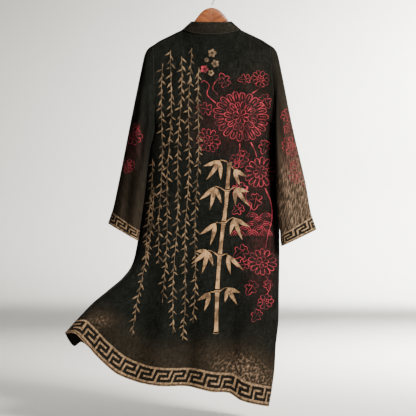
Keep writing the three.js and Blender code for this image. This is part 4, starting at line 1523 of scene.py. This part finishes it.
class RunningStitch(Repeat):
    """Repeats a stitch along lines, each lying along its seam."""

    pitch: float = 3.6  # from one stitch to the next
    long: float = 2.5
    thread: float = 0.55

    def __init__(self) -> None:
        """Builds the tree."""
        super().__init__("running_stitch")
        for name in ("Pitch", "Long", "Thread"):
            self.add_input(name, "NodeSocketFloat")
        self.add_input("Material", "NodeSocketMaterial")
        line = self.add("GeometryNodeMeshToCurve", {0: "Geometry"})
        even = self.add("GeometryNodeResampleCurve", {0: line.outputs[0], "Length": "Pitch"}, mode="LENGTH")
        bead = self.add("GeometryNodeMeshUVSphere", {"Segments": 6, "Rings": 4, "Radius": 0.5})
        shape = self.add("ShaderNodeCombineXYZ", {0: "Thread", 1: "Thread", 2: "Long"})
        along = self.add("GeometryNodeInputTangent")
        turned = self.add("FunctionNodeAlignRotationToVector", {"Vector": along.outputs[0]}, axis="Z")
        self.close(
            self.add(
                "GeometryNodeInstanceOnPoints",
                {
                    "Points": even.outputs[0],
                    "Instance": bead.outputs[0],
                    "Rotation": turned.outputs[0],
                    "Scale": shape.outputs[0],
                },
            )
        )

    def sew(self, name: str, lines: list[Array], shop: "Workshop") -> Piece:
        """Stitches along lines.

        Args:
            name: the piece's name.
            lines: each a row of points in millimetres.
            shop: where it is finished.

        Returns:
            The stitches as one piece.
        """
        points, edges, count = [], [], 0
        for line in lines:
            points.append(line * MM)
            edges += [(count + k, count + k + 1) for k in range(len(line) - 1)]
            count += len(line)
        mesh = bpy.data.meshes.new(f"{name}_lines")
        mesh.from_pydata(np.concatenate(points).tolist(), edges, [])
        sizes = {"Pitch": self.pitch * MM, "Long": self.long * MM, "Thread": self.thread * MM}
        made = self.run(mesh, {**sizes, "Material": shop.thread})
        made.name = name
        piece = linked(name, made)
        shop.finish(piece, shop.thread, "robe_linen")
        return piece


# ---------------- flat shapes and printed films
@dataclass
class Flat:
    """Shapes in the upright plane, as quads on (x, z) points in millimetres."""

    points: Array
    faces: Array

    @staticmethod
    def ribbon(path: Array, half: Array) -> "Flat":
        """A ribbon along a path, half wide on each side."""
        along = unit(np.gradient(path, axis=0))
        beside = np.stack([along[:, 1], -along[:, 0]], axis=1) * np.maximum(half, 0.12)[:, None]
        points = np.concatenate([path - beside, path + beside])
        n = len(path)
        faces = np.array([(k, k + 1, n + k + 1, n + k) for k in range(n - 1)])
        return Flat(points, faces)

    @staticmethod
    def merged(parts: Sequence["Flat"]) -> "Flat":
        """Several shapes as one."""
        starts = np.cumsum([0] + [len(part.points) for part in parts])
        faces = [part.faces + start for part, start in zip(parts, starts)]
        return Flat(np.concatenate([part.points for part in parts]), np.concatenate(faces))

    def placed(self, x: float, z: float, turn: float = 0.0, wide: float = 1.0, high: float = 1.0) -> "Flat":
        """The shape scaled, turned and moved."""
        c, s = math.cos(turn), math.sin(turn)
        points = (self.points * (wide, high)) @ np.array([[c, s], [-s, c]]) + (x, z)
        return Flat(points, self.faces)

    def islands(self) -> Array:
        """A label for each point, the same on points that faces join."""
        label = np.arange(len(self.points))
        while True:
            low = label[self.faces].min(axis=1)
            after = label.copy()
            np.minimum.at(after, self.faces.ravel(), np.repeat(low, 4))
            if (after == label).all():
                return label
            label = after


def leaf(long: float, wide: float, bend: float = 0.0, steps: int = 5, fullest: float = 0.42) -> Flat:
    """A pointed leaf that grows down from (0, 0)."""
    t = np.linspace(0, 1, steps + 1)
    path = np.stack([bend * long * t * t, -long * t], axis=1)
    rise = np.where(t < fullest, t / fullest, (1 - t) / (1 - fullest))
    return Flat.ribbon(path, wide / 2 * np.sin(np.clip(rise, 0, 1) * math.pi / 2) ** 1.1)


def film(
    name: str,
    flat: Flat,
    cloth: Cloth,
    thick: float = 0.28,
    under: float = 0.62,
    clear_rows: float = 13,
) -> Piece:
    """Lays shapes on a cloth as a closed film.

    Args:
        name: the piece's name.
        flat: the shapes; those that run off the cloth or on to its border are left out.
        cloth: what carries them.
        thick: the film's thickness above the cloth.
        under: how far its top's foot lies from the cloth's middle.
        clear_rows: rows at the cloth's end that stay bare.

    Returns:
        The object.
    """
    i, j, miss = cloth.locate(flat.points[:, 0], flat.points[:, 1])
    off = (miss > 0.6) | (i > len(cloth.points) - 1 - clear_rows)
    label = flat.islands()
    lost = np.unique(label[off])
    faces = flat.faces[~np.isin(label[flat.faces[:, 0]], lost)]
    corner = flat.points[faces]
    area = np.zeros(len(faces))
    for k in range(4):
        a, b = corner[:, k], corner[:, (k + 1) % 4]
        area += a[:, 0] * b[:, 1] - a[:, 1] * b[:, 0]
    faces = np.where((area < 0)[:, None], faces[:, ::-1], faces)
    used, faces = np.unique(faces, return_inverse=True)
    faces = faces.reshape(-1, 4)
    i, j = i[used], j[used]
    place, normal = cloth.sample(cloth.points, i, j), unit(cloth.sample(cloth.normals, i, j))
    points = np.concatenate([place + normal * (under + thick), place + normal * (under - 0.4)])
    edges = np.concatenate([faces[:, [k, (k + 1) % 4]] for k in range(4)])
    known = {(a, b) for a, b in edges.tolist()}
    rim = np.array([(b, a, a + len(used), b + len(used)) for a, b in edges.tolist() if (b, a) not in known])
    faces = np.concatenate([faces, faces[:, ::-1] + len(used), rim])
    cut = np.tile(cloth.sample(cloth.cut, i, j) * MM, (2, 1))
    return write_mesh(name, points, faces, {"cut": cut[faces].reshape(-1, 2)})


# ---------------- the prints
@dataclass
class Prints:
    """Screen prints: willow strands, bamboo, chrysanthemums, waves and plum blossom."""

    bodice: Bodice
    sleeves: Sleeves
    scatter: Scatter = field(default_factory=Scatter)
    strands: tuple[tuple[float, float, float, float], ...] = (
        (160, -250, 172, -905), (131, -206, 156, -1030), (99, -226, 128, -1128), (68, -198, 94, -1152),
        (40, -262, 60, -1096), (186, -655, 258, -1136), (196, -560, 214, -905),
    )
    leaf_step: float = 12.5
    heads: tuple[tuple[float, float, float, float], ...] = (
        # x, z, radius, tilt
        (-96, -424, 90, 0.3), (-160, -606, 54, -0.5), (10, -502, 40, 0.9), (-166, -900, 48, 0.2),
        (-160, -300, 30, 0.6), (-176, -1030, 27, -0.4), (-84, -570, 26, 0.2),
    )
    sleeve_heads: dict[int, tuple[tuple[float, float, float, float], ...]] = field(
        default_factory=lambda: {
            LEFT: ((258, -486, 33, 0.4), (274, -586, 24, -0.6)),
            RIGHT: ((-250, -420, 24, -0.3), (-262, -520, 33, 0.5), (-276, -622, 22, 0.1)),
        }
    )

    def petal(self, long: float, wide: float, line: float, veined: bool) -> Flat:
        """A petal drawn in line, with its vein if it is a wide one, from its foot at (0, 0) outwards."""
        turn = np.linspace(0, math.pi, 13)
        swell = np.sign(np.cos(turn)) * np.abs(np.cos(turn)) ** 0.7 * (0.75 + 0.65 * np.sin(turn))
        outline = np.stack([wide / 2 * swell, long * np.sin(turn)], axis=1)
        vein = np.stack([np.zeros(4), long * np.linspace(0.2, 0.82, 4)], axis=1)
        thin = line * (0.55 + 0.45 * np.sin(turn))
        inner = [Flat.ribbon(vein, line * np.array([0.7, 0.75, 0.6, 0.2]))] if veined else []
        return Flat.merged([Flat.ribbon(outline, thin), *inner])

    def chrysanthemum(
        self, x: float, z: float, radius: float, tilt: float, seed: int, ink: Material
    ) -> Flat:
        """A head in line: rings of petals round a dotted heart, seen a little from the side.

        Args:
            x, z: its middle.
            radius, tilt: its size and turn.
            seed: of the petals' sway.
            ink: its colour.

        Returns:
            The head.
        """
        line = 0.7 + 0.007 * radius
        pitch = 13 + 0.1 * radius
        parts = []
        rings = ((0.63, 1.0), (0.34, 0.6), (0.1, 0.31)) if radius > 60 else ((0.5, 1.0), (0.12, 0.44))
        for k, (start, end) in enumerate(rings):
            count = max(6, round(2 * math.pi * radius * lerp(start, end, 0.62) / (pitch * (1 - 0.14 * k))))
            wide = 2 * math.pi * radius * lerp(start, end, 0.62) / count * 0.82
            turns = 2 * math.pi * (np.arange(count) + 0.5 * k + 0.1 * seed) / count
            reach = 1 + 0.07 * np.sin(3.1 * np.arange(count) + seed)
            foot = start * radius
            place = (-foot * np.sin(turns), foot * np.cos(turns))
            spots = np.column_stack([*place, turns, np.ones_like(reach), reach])
            petal = self.petal((end - start) * radius, wide, line, radius > 60 and k < 2)
            parts.append(self.scatter.spread(petal, spots, 0.05, seed + k, ink))
        dots = 2 * math.pi * np.arange(5) / 5
        place, same = (0.05 * radius * np.cos(dots), 0.05 * radius * np.sin(dots)), np.ones(len(dots))
        spots = np.column_stack([*place, dots, same, same])
        parts.append(self.scatter.spread(leaf(0.06 * radius, 2 * line, 0, 3), spots, 0.2, seed, ink))
        whole = Flat.merged(parts)
        return Flat(whole.points * (1, 0.88), whole.faces).placed(x, z, tilt)

    def lobed_leaf(self, long: float, line: float = 0.75) -> Flat:
        """A chrysanthemum leaf in line: a lobed outline round its veins."""
        half = (
            (3, 0), (15, 11), (29, 8), (35, 21), (21, 33), (24, 42), (40, 46), (38, 61), (19, 66), (19, 77),
            (12, 91),
        )
        knots = [(x, -z, 0) for x, z in half] + [(0, -100, 0)] + [(-x, -z, 0) for x, z in half[::-1]]
        outline = catmull(np.array(knots, float), 2)[:, :2] * long / 100
        parts = [Flat.ribbon(outline, np.full(len(outline), line))]
        for x, z, start in ((0, -84, 0.0), (22, -46, -0.26), (-22, -46, -0.26)):
            foot = np.array([0.0, start * long - 0.02 * long])
            vein = lerp(foot, np.array([x, z]) * long / 100, np.linspace(0.16, 1, 4)[:, None])
            parts.append(Flat.ribbon(vein, line * np.array([0.8, 0.7, 0.55, 0.25])))
        return Flat.merged(parts)

    def stem(self, *knots: tuple[float, float], wide: float = 2.6) -> Flat:
        """A tapering stem through the knots."""
        path = catmull(np.array([(x, z, 0) for x, z in knots], float), 8)[:, :2]
        return Flat.ribbon(path, wide / 2 * np.linspace(1, 0.45, len(path)))

    def red_garden(self, ink: Material) -> Flat:
        """Chrysanthemums with their stems and leaves, and rolling waves below."""
        parts = [self.chrysanthemum(*head, seed=k + 3, ink=ink) for k, head in enumerate(self.heads)]
        parts += [
            self.stem((-132, -348), (-148, -338), (-158, -328), wide=3.2),
            self.stem((-128, -508), (-140, -532), (-148, -556), wide=4.2),
            self.stem((-92, -512), (-92, -528), (-88, -548), wide=3.4),
            self.stem((-176, -658), (-196, -710), (-198, -760), (-186, -806), (-176, -856), wide=4.4),
            self.stem((-178, -946), (-192, -972), (-190, -990), (-182, -1005), wide=3.4),
            self.stem((-14, -380), (14, -352), (8, -322), (24, -306), (34, -314), wide=3.0),
            self.stem((-20, -352), (-4, -330), (-22, -300), (-44, -298), wide=3.0),
            self.stem((-118, -652), (-112, -690), (-128, -722), (-116, -748), wide=3.2),
        ]
        leaves = (
            (-166, -352, -0.5, 40), (-52, -326, 2.7, 40), (-2, -404, 1.7, 42), (-178, -500, 0.1, 38),
            (-112, -536, 0.3, 40), (-104, -640, 0.5, 46), (-150, -676, 0.2, 44), (-116, -850, 1.0, 46),
            (-124, -906, 1.4, 36), (-182, -958, -0.2, 30), (-142, -962, 0.5, 42), (-158, -1056, 0.6, 36),
            (-128, -298, 1.5, 34), (-104, -716, 0.9, 36),
        )
        spots = np.array([(x, z, turn, long / 34, long / 32) for x, z, turn, long in leaves])
        parts.append(self.scatter.spread(self.lobed_leaf(40), spots, 0.15, 11, ink))
        parts.append(self.waves())
        return Flat.merged(parts)

    def waves(self) -> Flat:
        """Rows of overlapping arcs, as on a calm sea, thinning out towards their edge."""
        turn = np.linspace(0.1, math.pi - 0.1, 15)
        parts = []
        for row in range(5):
            for column in range(3):
                x = -178 + 46 * column + 23 * (row % 2)
                z = -758 - 14 * row
                if x > -122 + 10 * row or x < -196:
                    continue
                for radius in (21, 14.6, 8.4):
                    low = math.asin(min(0.9, 5 / radius)) if row < 4 else 0.0
                    arc = np.linspace(low, math.pi - low, 15)
                    path = np.stack([x - radius * np.cos(arc), z + radius * 0.9 * np.sin(arc)], axis=1)
                    parts.append(Flat.ribbon(path, 0.7 * np.sin(turn) + 0.35))
        return Flat.merged(parts)

    def willow(self, ink: Material) -> Flat:
        """Hanging strands, leaning with the flare: stems with drooping leaves by turns on both sides."""
        stems, spots = [], []
        for n, (x0, z0, x1, z1) in enumerate(self.strands):
            long = math.hypot(x1 - x0, z1 - z0)
            lean = math.atan2(x1 - x0, z0 - z1)
            t = np.linspace(0, 1, int(long / 10))
            sway = 3.4 * np.sin(4.4 * t * long / 300 + 1.7 * n)
            path = np.stack([lerp(x0, x1, t**1.25) + sway, lerp(z0, z1, t)], axis=1)
            stems.append(Flat.ribbon(path, np.linspace(0.95, 0.5, len(path))))
            for k in range(int(long / self.leaf_step)):
                if (k * 5 + n * 3) % 19 == 0:
                    continue
                at = (k + 0.4) * self.leaf_step / long * (len(path) - 1)
                x, z = (float(np.interp(at, np.arange(len(path)), path[:, axis])) for axis in (0, 1))
                side = 1 if (k + n) % 2 else -1
                droop = side * (0.62 + 0.3 * math.sin(1.9 * k + n)) + lean
                size = 1.0 + 0.22 * math.sin(2.3 * k + 1.3 * n)
                spots.append((x, z, droop, size, size))
        blades = self.scatter.spread(leaf(19.5, 4.6, 0.1, 5), np.array(spots), 0.2, 20, ink)
        return Flat.merged([*stems, blades])

    def bamboo(self) -> Flat:
        """A bold culm in joints; at each a twig whose broad leaves hang in a fan."""
        knots = ((-58, -570, 0), (-48, -700, 0), (-32, -830, 0), (-20, -960, 0), (-14, -1130, 0))
        path = catmull(np.array(knots, float), 30)[:, :2]
        joints = (0, 22, 46, 71, 96, 120)
        parts = []
        for a, b in zip(joints, joints[1:]):
            piece = path[a + 1 : b]
            t = np.linspace(0, 1, len(piece))
            parts.append(Flat.ribbon(piece, 5.6 + 1.6 * np.abs(2 * t - 1) ** 4))
            x, z = path[min(b, len(path) - 1)]
            ring = np.array([(x - 9.5, z + 1.0), (x, z - 1.4), (x + 9.5, z + 1.0)])
            parts.append(Flat.ribbon(ring, np.array([0.7, 1.7, 0.7])))
        fans = (
            # joint, side, reach out, rise, leaves as turn and length
            (0, 1, 30, 8, ((-0.15, 62), (0.5, 76), (1.15, 56))),
            (0, -1, 14, -20, ((0.25, 58), (0.95, 50))),
            (1, -1, 26, 14, ((-0.1, 58), (0.55, 74), (1.2, 46))),
            (1, 1, 40, 18, ((-0.5, 58), (0.1, 78), (0.75, 66))),
            (2, -1, 34, 20, ((-0.35, 56), (0.25, 76), (0.95, 58))),
            (2, 1, 24, 4, ((0.15, 74), (0.85, 66))),
            (3, -1, 24, 8, ((0.05, 66), (0.7, 72))),
            (3, 1, 38, 20, ((-0.45, 52), (0.15, 76), (0.8, 68), (1.45, 40))),
            (4, -1, 34, 16, ((-0.3, 50), (0.4, 62), (1.1, 44))),
            (4, 1, 22, 2, ((0.2, 62), (0.9, 50))),
        )
        for joint, side, out, rise, leaves in fans:
            x, z = path[min(joints[joint] + 1, len(path) - 1)]
            tip = (x + side * out, z + rise)
            bend = (x + side * out * 0.6, z + rise * 0.75)
            parts.append(self.stem((x + side * 6, z + 2), bend, tip, wide=3.6))
            for turn, long in leaves:
                blade = leaf(long, 13.5, 0.1 * side, 12, 0.34)
                parts.append(blade.placed(tip[0] + side * 1.5, tip[1] - 2, side * turn))
        return Flat.merged(parts)

    def plum(self, radius: float) -> Flat:
        """A five petalled blossom with its stamens left out of the ink as gaps."""
        parts = []
        t = np.linspace(0, 1, 9)
        for k in range(5):
            path = np.stack([0 * t, radius * (0.26 + 0.72 * t)], axis=1)
            disc = Flat.ribbon(path, radius * 0.37 * np.sin(t * math.pi) ** 0.6)
            parts.append(disc.placed(0, 0, 2 * math.pi * k / 5))
            stamen = np.stack([0 * t, radius * 0.2 * t], axis=1)
            parts.append(Flat.ribbon(stamen, 0.02 * radius + 0 * t).placed(0, 0, 2 * math.pi * (k + 0.5) / 5))
        return Flat.merged(parts)

    def build(self, shop: "Workshop") -> None:
        """Makes every film and hangs it with its cloth."""
        red = ScreenInk("screen_ink_red", "#7c2530", "#351418", 0.62).make()
        tan = ScreenInk("screen_ink_tan", "#66533f", "#352a1f", 0.75).make()
        gold = ScreenInk("screen_ink_gold", "#836648", "#433224", 0.65).make()
        back = self.bodice.back
        blossoms = [self.plum(15).placed(-2, -216, 0.2), self.plum(13.5).placed(-12, -250, 0.9)]
        blossoms += [self.plum(11).placed(2, -281, 0.5), self.plum(8).placed(16, -238, 0.1)]
        films = [
            ("print_chrysanthemums", self.red_garden(red), back, red),
            ("print_willow", self.willow(tan), back, tan),
            ("print_bamboo", self.bamboo(), back, gold),
            ("print_plum_tan", Flat.merged(blossoms), back, tan),
            ("print_plum_red", self.plum(14).placed(23, -268, 0.4), back, red),
        ]
        sewn: dict[str, list[Piece]] = {"back": []}
        for layer, (name, flat, cloth, ink) in enumerate(films):
            piece = film(name, flat, cloth, 0.24 + 0.04 * layer)
            shop.finish(piece, ink, "robe_linen")
            sewn["back"].append(piece)
        for side, word in SIDES:
            heads = enumerate(self.sleeve_heads[side])
            parts = [self.chrysanthemum(*head, seed=30 + k, ink=red) for k, head in heads]
            turns = [side * (0.9 - 1.5 * (k % 2)) for k in range(5)]
            spots = [(side * (244 + 12 * k), -388 - 62 * k, turns[k], 0.8, 0.8) for k in range(5)]
            parts.append(self.scatter.spread(self.lobed_leaf(40), np.array(spots), 0.3, 40, red))
            piece = film(f"print_sleeve_{word}", Flat.merged(parts), self.sleeves.back_half(side))
            shop.finish(piece, red, "robe_linen")
            sewn[f"sleeve_{word}"] = [piece]
        for _, name, _, others in shop.sheets:
            others.extend(sewn.get(name, []))


@dataclass
class Stitching:
    """Rows of running stitch along the tapes, the armholes and the neckband."""

    bodice: Bodice
    sleeves: Sleeves
    neckband: Neckband
    in_from_edge: float = 0.45  # rows of the grid
    proud: float = 0.08  # of the thread's middle over a tape
    armhole_out: float = 0.68  # of the thread's middle from the cloth's, beside the armhole
    armhole_in: float = 2.4  # columns of the grid

    def row(self, cloth: Cloth, down: float, out: float) -> Array:
        """A line across a cloth at a broken row, standing out from its middle."""
        j = np.arange(cloth.points.shape[1], dtype=float)
        i = np.full(len(j), down)
        return cloth.sample(cloth.points, i, j) + unit(cloth.sample(cloth.normals, i, j)) * out

    def column(self, cloth: Cloth, across: float, out: float, rows: int) -> Array:
        """A line down a cloth at a broken column."""
        i = np.arange(1, rows, dtype=float)
        j = np.full(len(i), across)
        return cloth.sample(cloth.points, i, j) + unit(cloth.sample(cloth.normals, i, j)) * out

    def build(self, shop: "Workshop") -> None:
        """Sews, piece by piece."""
        sewer = RunningStitch()
        fronts = {f"front_{word}": self.bodice.fronts[side] for side, word in SIDES}
        panels = {"back": self.bodice.back, **fronts}
        lines: dict[str, list[Array]] = {}
        for name, cloth in panels.items():
            last = len(cloth.points) - 1
            out = self.bodice.tape_out + self.bodice.tape_thick / 2 + self.proud
            places = (last - self.bodice.tape_rows + self.in_from_edge, last - self.in_from_edge)
            lines[name] = [self.row(cloth, place, out) for place in places]
            far = cloth.points.shape[1] - 1 - self.armhole_in
            ends = [self.armhole_in, far] if name == "back" else [far]
            rows, off = self.bodice.armhole_rows, self.armhole_out
            lines[name] += [self.column(cloth, end, off, rows) for end in ends]
        for side, word in SIDES:
            tube = self.sleeves.tubes[side]
            last = len(tube.points) - 1
            out = self.sleeves.tape_out + self.sleeves.tape_thick / 2 + self.proud
            places = (last - self.sleeves.tape_rows + self.in_from_edge, last - self.in_from_edge)
            lines[f"sleeve_{word}"] = [self.row(tube, place, out) for place in places]
        strip = self.neckband.strip
        places, out = (0.5, len(strip.points) - 1.5), self.neckband.thick / 2 + 0.1
        lines["collar"] = [self.row(strip, place, out) for place in places]
        for _, name, _, others in shop.sheets:
            others.append(sewer.sew(f"stitches_{name}", lines[name], shop))


# ---------------- workshop, studio and main
@dataclass
class Workshop:
    """The finishes, and what has been made with them."""

    linen: Material = field(default_factory=lambda: StonewashedLinen().make())
    fret: Material = field(default_factory=lambda: FretTape("jacquard_fret_hem_tape").make())
    cuff_fret: Material = field(default_factory=lambda: FretTape("jacquard_fret_cuff_tape").make())
    wood: dict[int, Material] = field(
        default_factory=lambda: {
            LEFT: LacqueredBeech("lacquered_beech_left", 0.5).make(),
            RIGHT: LacqueredBeech("lacquered_beech_right", -0.5).make(),
        }
    )
    chrome: Material = field(default_factory=lambda: ChromedWire().make())
    thread: Material = field(default_factory=lambda: SewingThread().make())
    sheets: list[tuple[Piece, str, Cloth, list[Piece]]] = field(default_factory=list)

    def finish(self, piece: Piece, material: Material, slot: str, *nodes: str) -> None:
        """Dresses a piece and lets it ride on the body.

        Args:
            piece: what to dress.
            material: its finish.
            slot: not used.
            nodes: the nodes that it stands for.
        """
        piece.data.materials.clear()
        piece.data.materials.append(material)
        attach(piece, BODY)
        if nodes:
            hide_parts(*nodes)
        LOG.info("%s: %d faces, %s", piece.name, len(piece.data.polygons), material.name)

    def declare_sheets(self) -> None:
        """Works out each cut piece's width, length and area, and keeps none of them."""
        for piece, name, cloth, others in self.sheets:
            wide, long = cloth.cut[..., 0], cloth.cut[..., 1]
            hung = (float(np.ptp(wide, axis=1).max()), float(long.max()), cloth.area())


@dataclass
class Studio:
    """A round paper studio, wide enough for a camera on every side, with soft lights.

    Its sizes are metres.
    """

    eye: tuple[float, float, float] = (0.0116, 4.8, -0.723)
    focal_length: float = 125.87  # on a sensor 36 mm wide
    room_tone: str = "#f1f3f5"
    room_strength: float = 0.17
    floor_z: float = -1.43
    floor_radius: float = 6.6
    wall_radius: float = 7.6
    wall_height: float = 6.0
    sides: int = 96
    lights: tuple[tuple, ...] = (  # name, place, aim, size, watts, tone, fan
        ("window_right", (-2.3, 2.7, 1.4), (0, 0, -0.8), 1.2, 215, "#fffbf4", 1.5),
        ("fill_left", (3.6, 3.4, 0.6), (0, 0, -0.8), 2.4, 26, "#f4f7ff", math.pi),
        ("fill_front", (1.2, -4.6, 0.7), (0, 0, -0.7), 2.4, 60, "#fffbf4", 1.2),
        ("wall_wash_right", (-3.3, -5.0, 1.2), (-1.6, -7.6, -0.5), 1.6, 600, "#fffdfa", 1.6),
        ("floor_wash_right", (-2.8, -1.6, 2.4), (-2.0, -2.2, -1.43), 1.2, 420, "#fffdfa", 1.1),
    )

    def backdrop(self) -> Piece:
        """Floor, cove and wall as one turned sheet of paper."""
        cove = self.wall_radius - self.floor_radius
        bend = evenly(0, math.pi / 2, 16)
        radii = np.concatenate([[0.02, 2, 4], self.floor_radius + cove * np.sin(bend), [self.wall_radius]])
        heights = np.concatenate([[0, 0, 0], cove * (1 - np.cos(bend)), [self.wall_height]]) + self.floor_z
        angle = 2 * math.pi * np.arange(self.sides) / self.sides
        cos, sin, level = np.cos(angle), np.sin(angle), np.ones(self.sides)
        rings = [np.stack([r * cos, r * sin, z * level], axis=1) for r, z in zip(radii, heights)]
        points = np.concatenate(rings)
        faces = []
        for i in range(len(radii) - 1):
            low, high = i * self.sides, (i + 1) * self.sides
            for j in range(self.sides):
                k = (j + 1) % self.sides
                faces.append((low + j, low + k, high + k, high + j))
        mesh = bpy.data.meshes.new("studio_paper")
        mesh.from_pydata(points.tolist(), [], faces + [tuple(range(self.sides))[::-1]])
        mesh.flip_normals()
        mesh.shade_smooth()
        mesh.materials.append(StudioPaper().make())
        paper = linked("studio_paper", mesh)
        return paper

    def light(
        self, name: str, place: tuple, aim: tuple, size: float, power: float, tone: str, fan: float
    ) -> None:
        """One soft, square area light.

        Args:
            name: its name.
            place: where it hangs, in metres.
            aim: what it points at.
            size: its width.
            power: watts.
            tone: its colour as sRGB hex.
            fan: how widely its honeycomb lets the light fan out, pi without one.
        """
        lamp = bpy.data.lights.new(name, "AREA")
        lamp.spread = fan
        lamp.shape, lamp.size, lamp.size_y = "RECTANGLE", size, size
        lamp.energy, lamp.color = power, srgb(tone)[:3]
        holder = linked(name, lamp)
        holder.location = place
        away = mathutils.Vector(place) - mathutils.Vector(aim)
        holder.rotation_euler = away.to_track_quat("Z", "Y").to_euler()
        holder.visible_camera = False

    def camera(self) -> None:
        """A long lens level with the middle of the robe's back."""
        lens = bpy.data.cameras.new("camera")
        lens.sensor_width, lens.lens = 36.0, self.focal_length
        lens.clip_end = 100
        holder = linked("camera", lens)
        holder.location = self.eye
        holder.rotation_euler = (math.pi / 2, 0, math.pi)
        bpy.context.scene.camera = holder

    def build(self) -> None:
        """Makes the studio."""
        self.camera()
        self.backdrop()
        world = bpy.data.worlds.new("soft_room")
        world.use_nodes = True
        room = world.node_tree.nodes["Background"].inputs
        room["Color"].default_value = srgb(self.room_tone)
        room["Strength"].default_value = self.room_strength
        bpy.context.scene.world = world
        for lamp in self.lights:
            self.light(*lamp)


def main() -> None:
    """Builds the robe piece by piece, then the studio."""
    logging.basicConfig(level=logging.INFO, format="%(name)s: %(message)s")
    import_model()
    shop = Workshop()
    bodice, sleeves, neckband = Bodice(), Sleeves(), Neckband()
    for part in (bodice, sleeves, neckband, Hanger()):
        part.build(shop)
    Prints(bodice, sleeves).build(shop)
    Stitching(bodice, sleeves, neckband).build(shop)
    shop.declare_sheets()
    Studio().build()


if __name__ == "__main__":
    main()
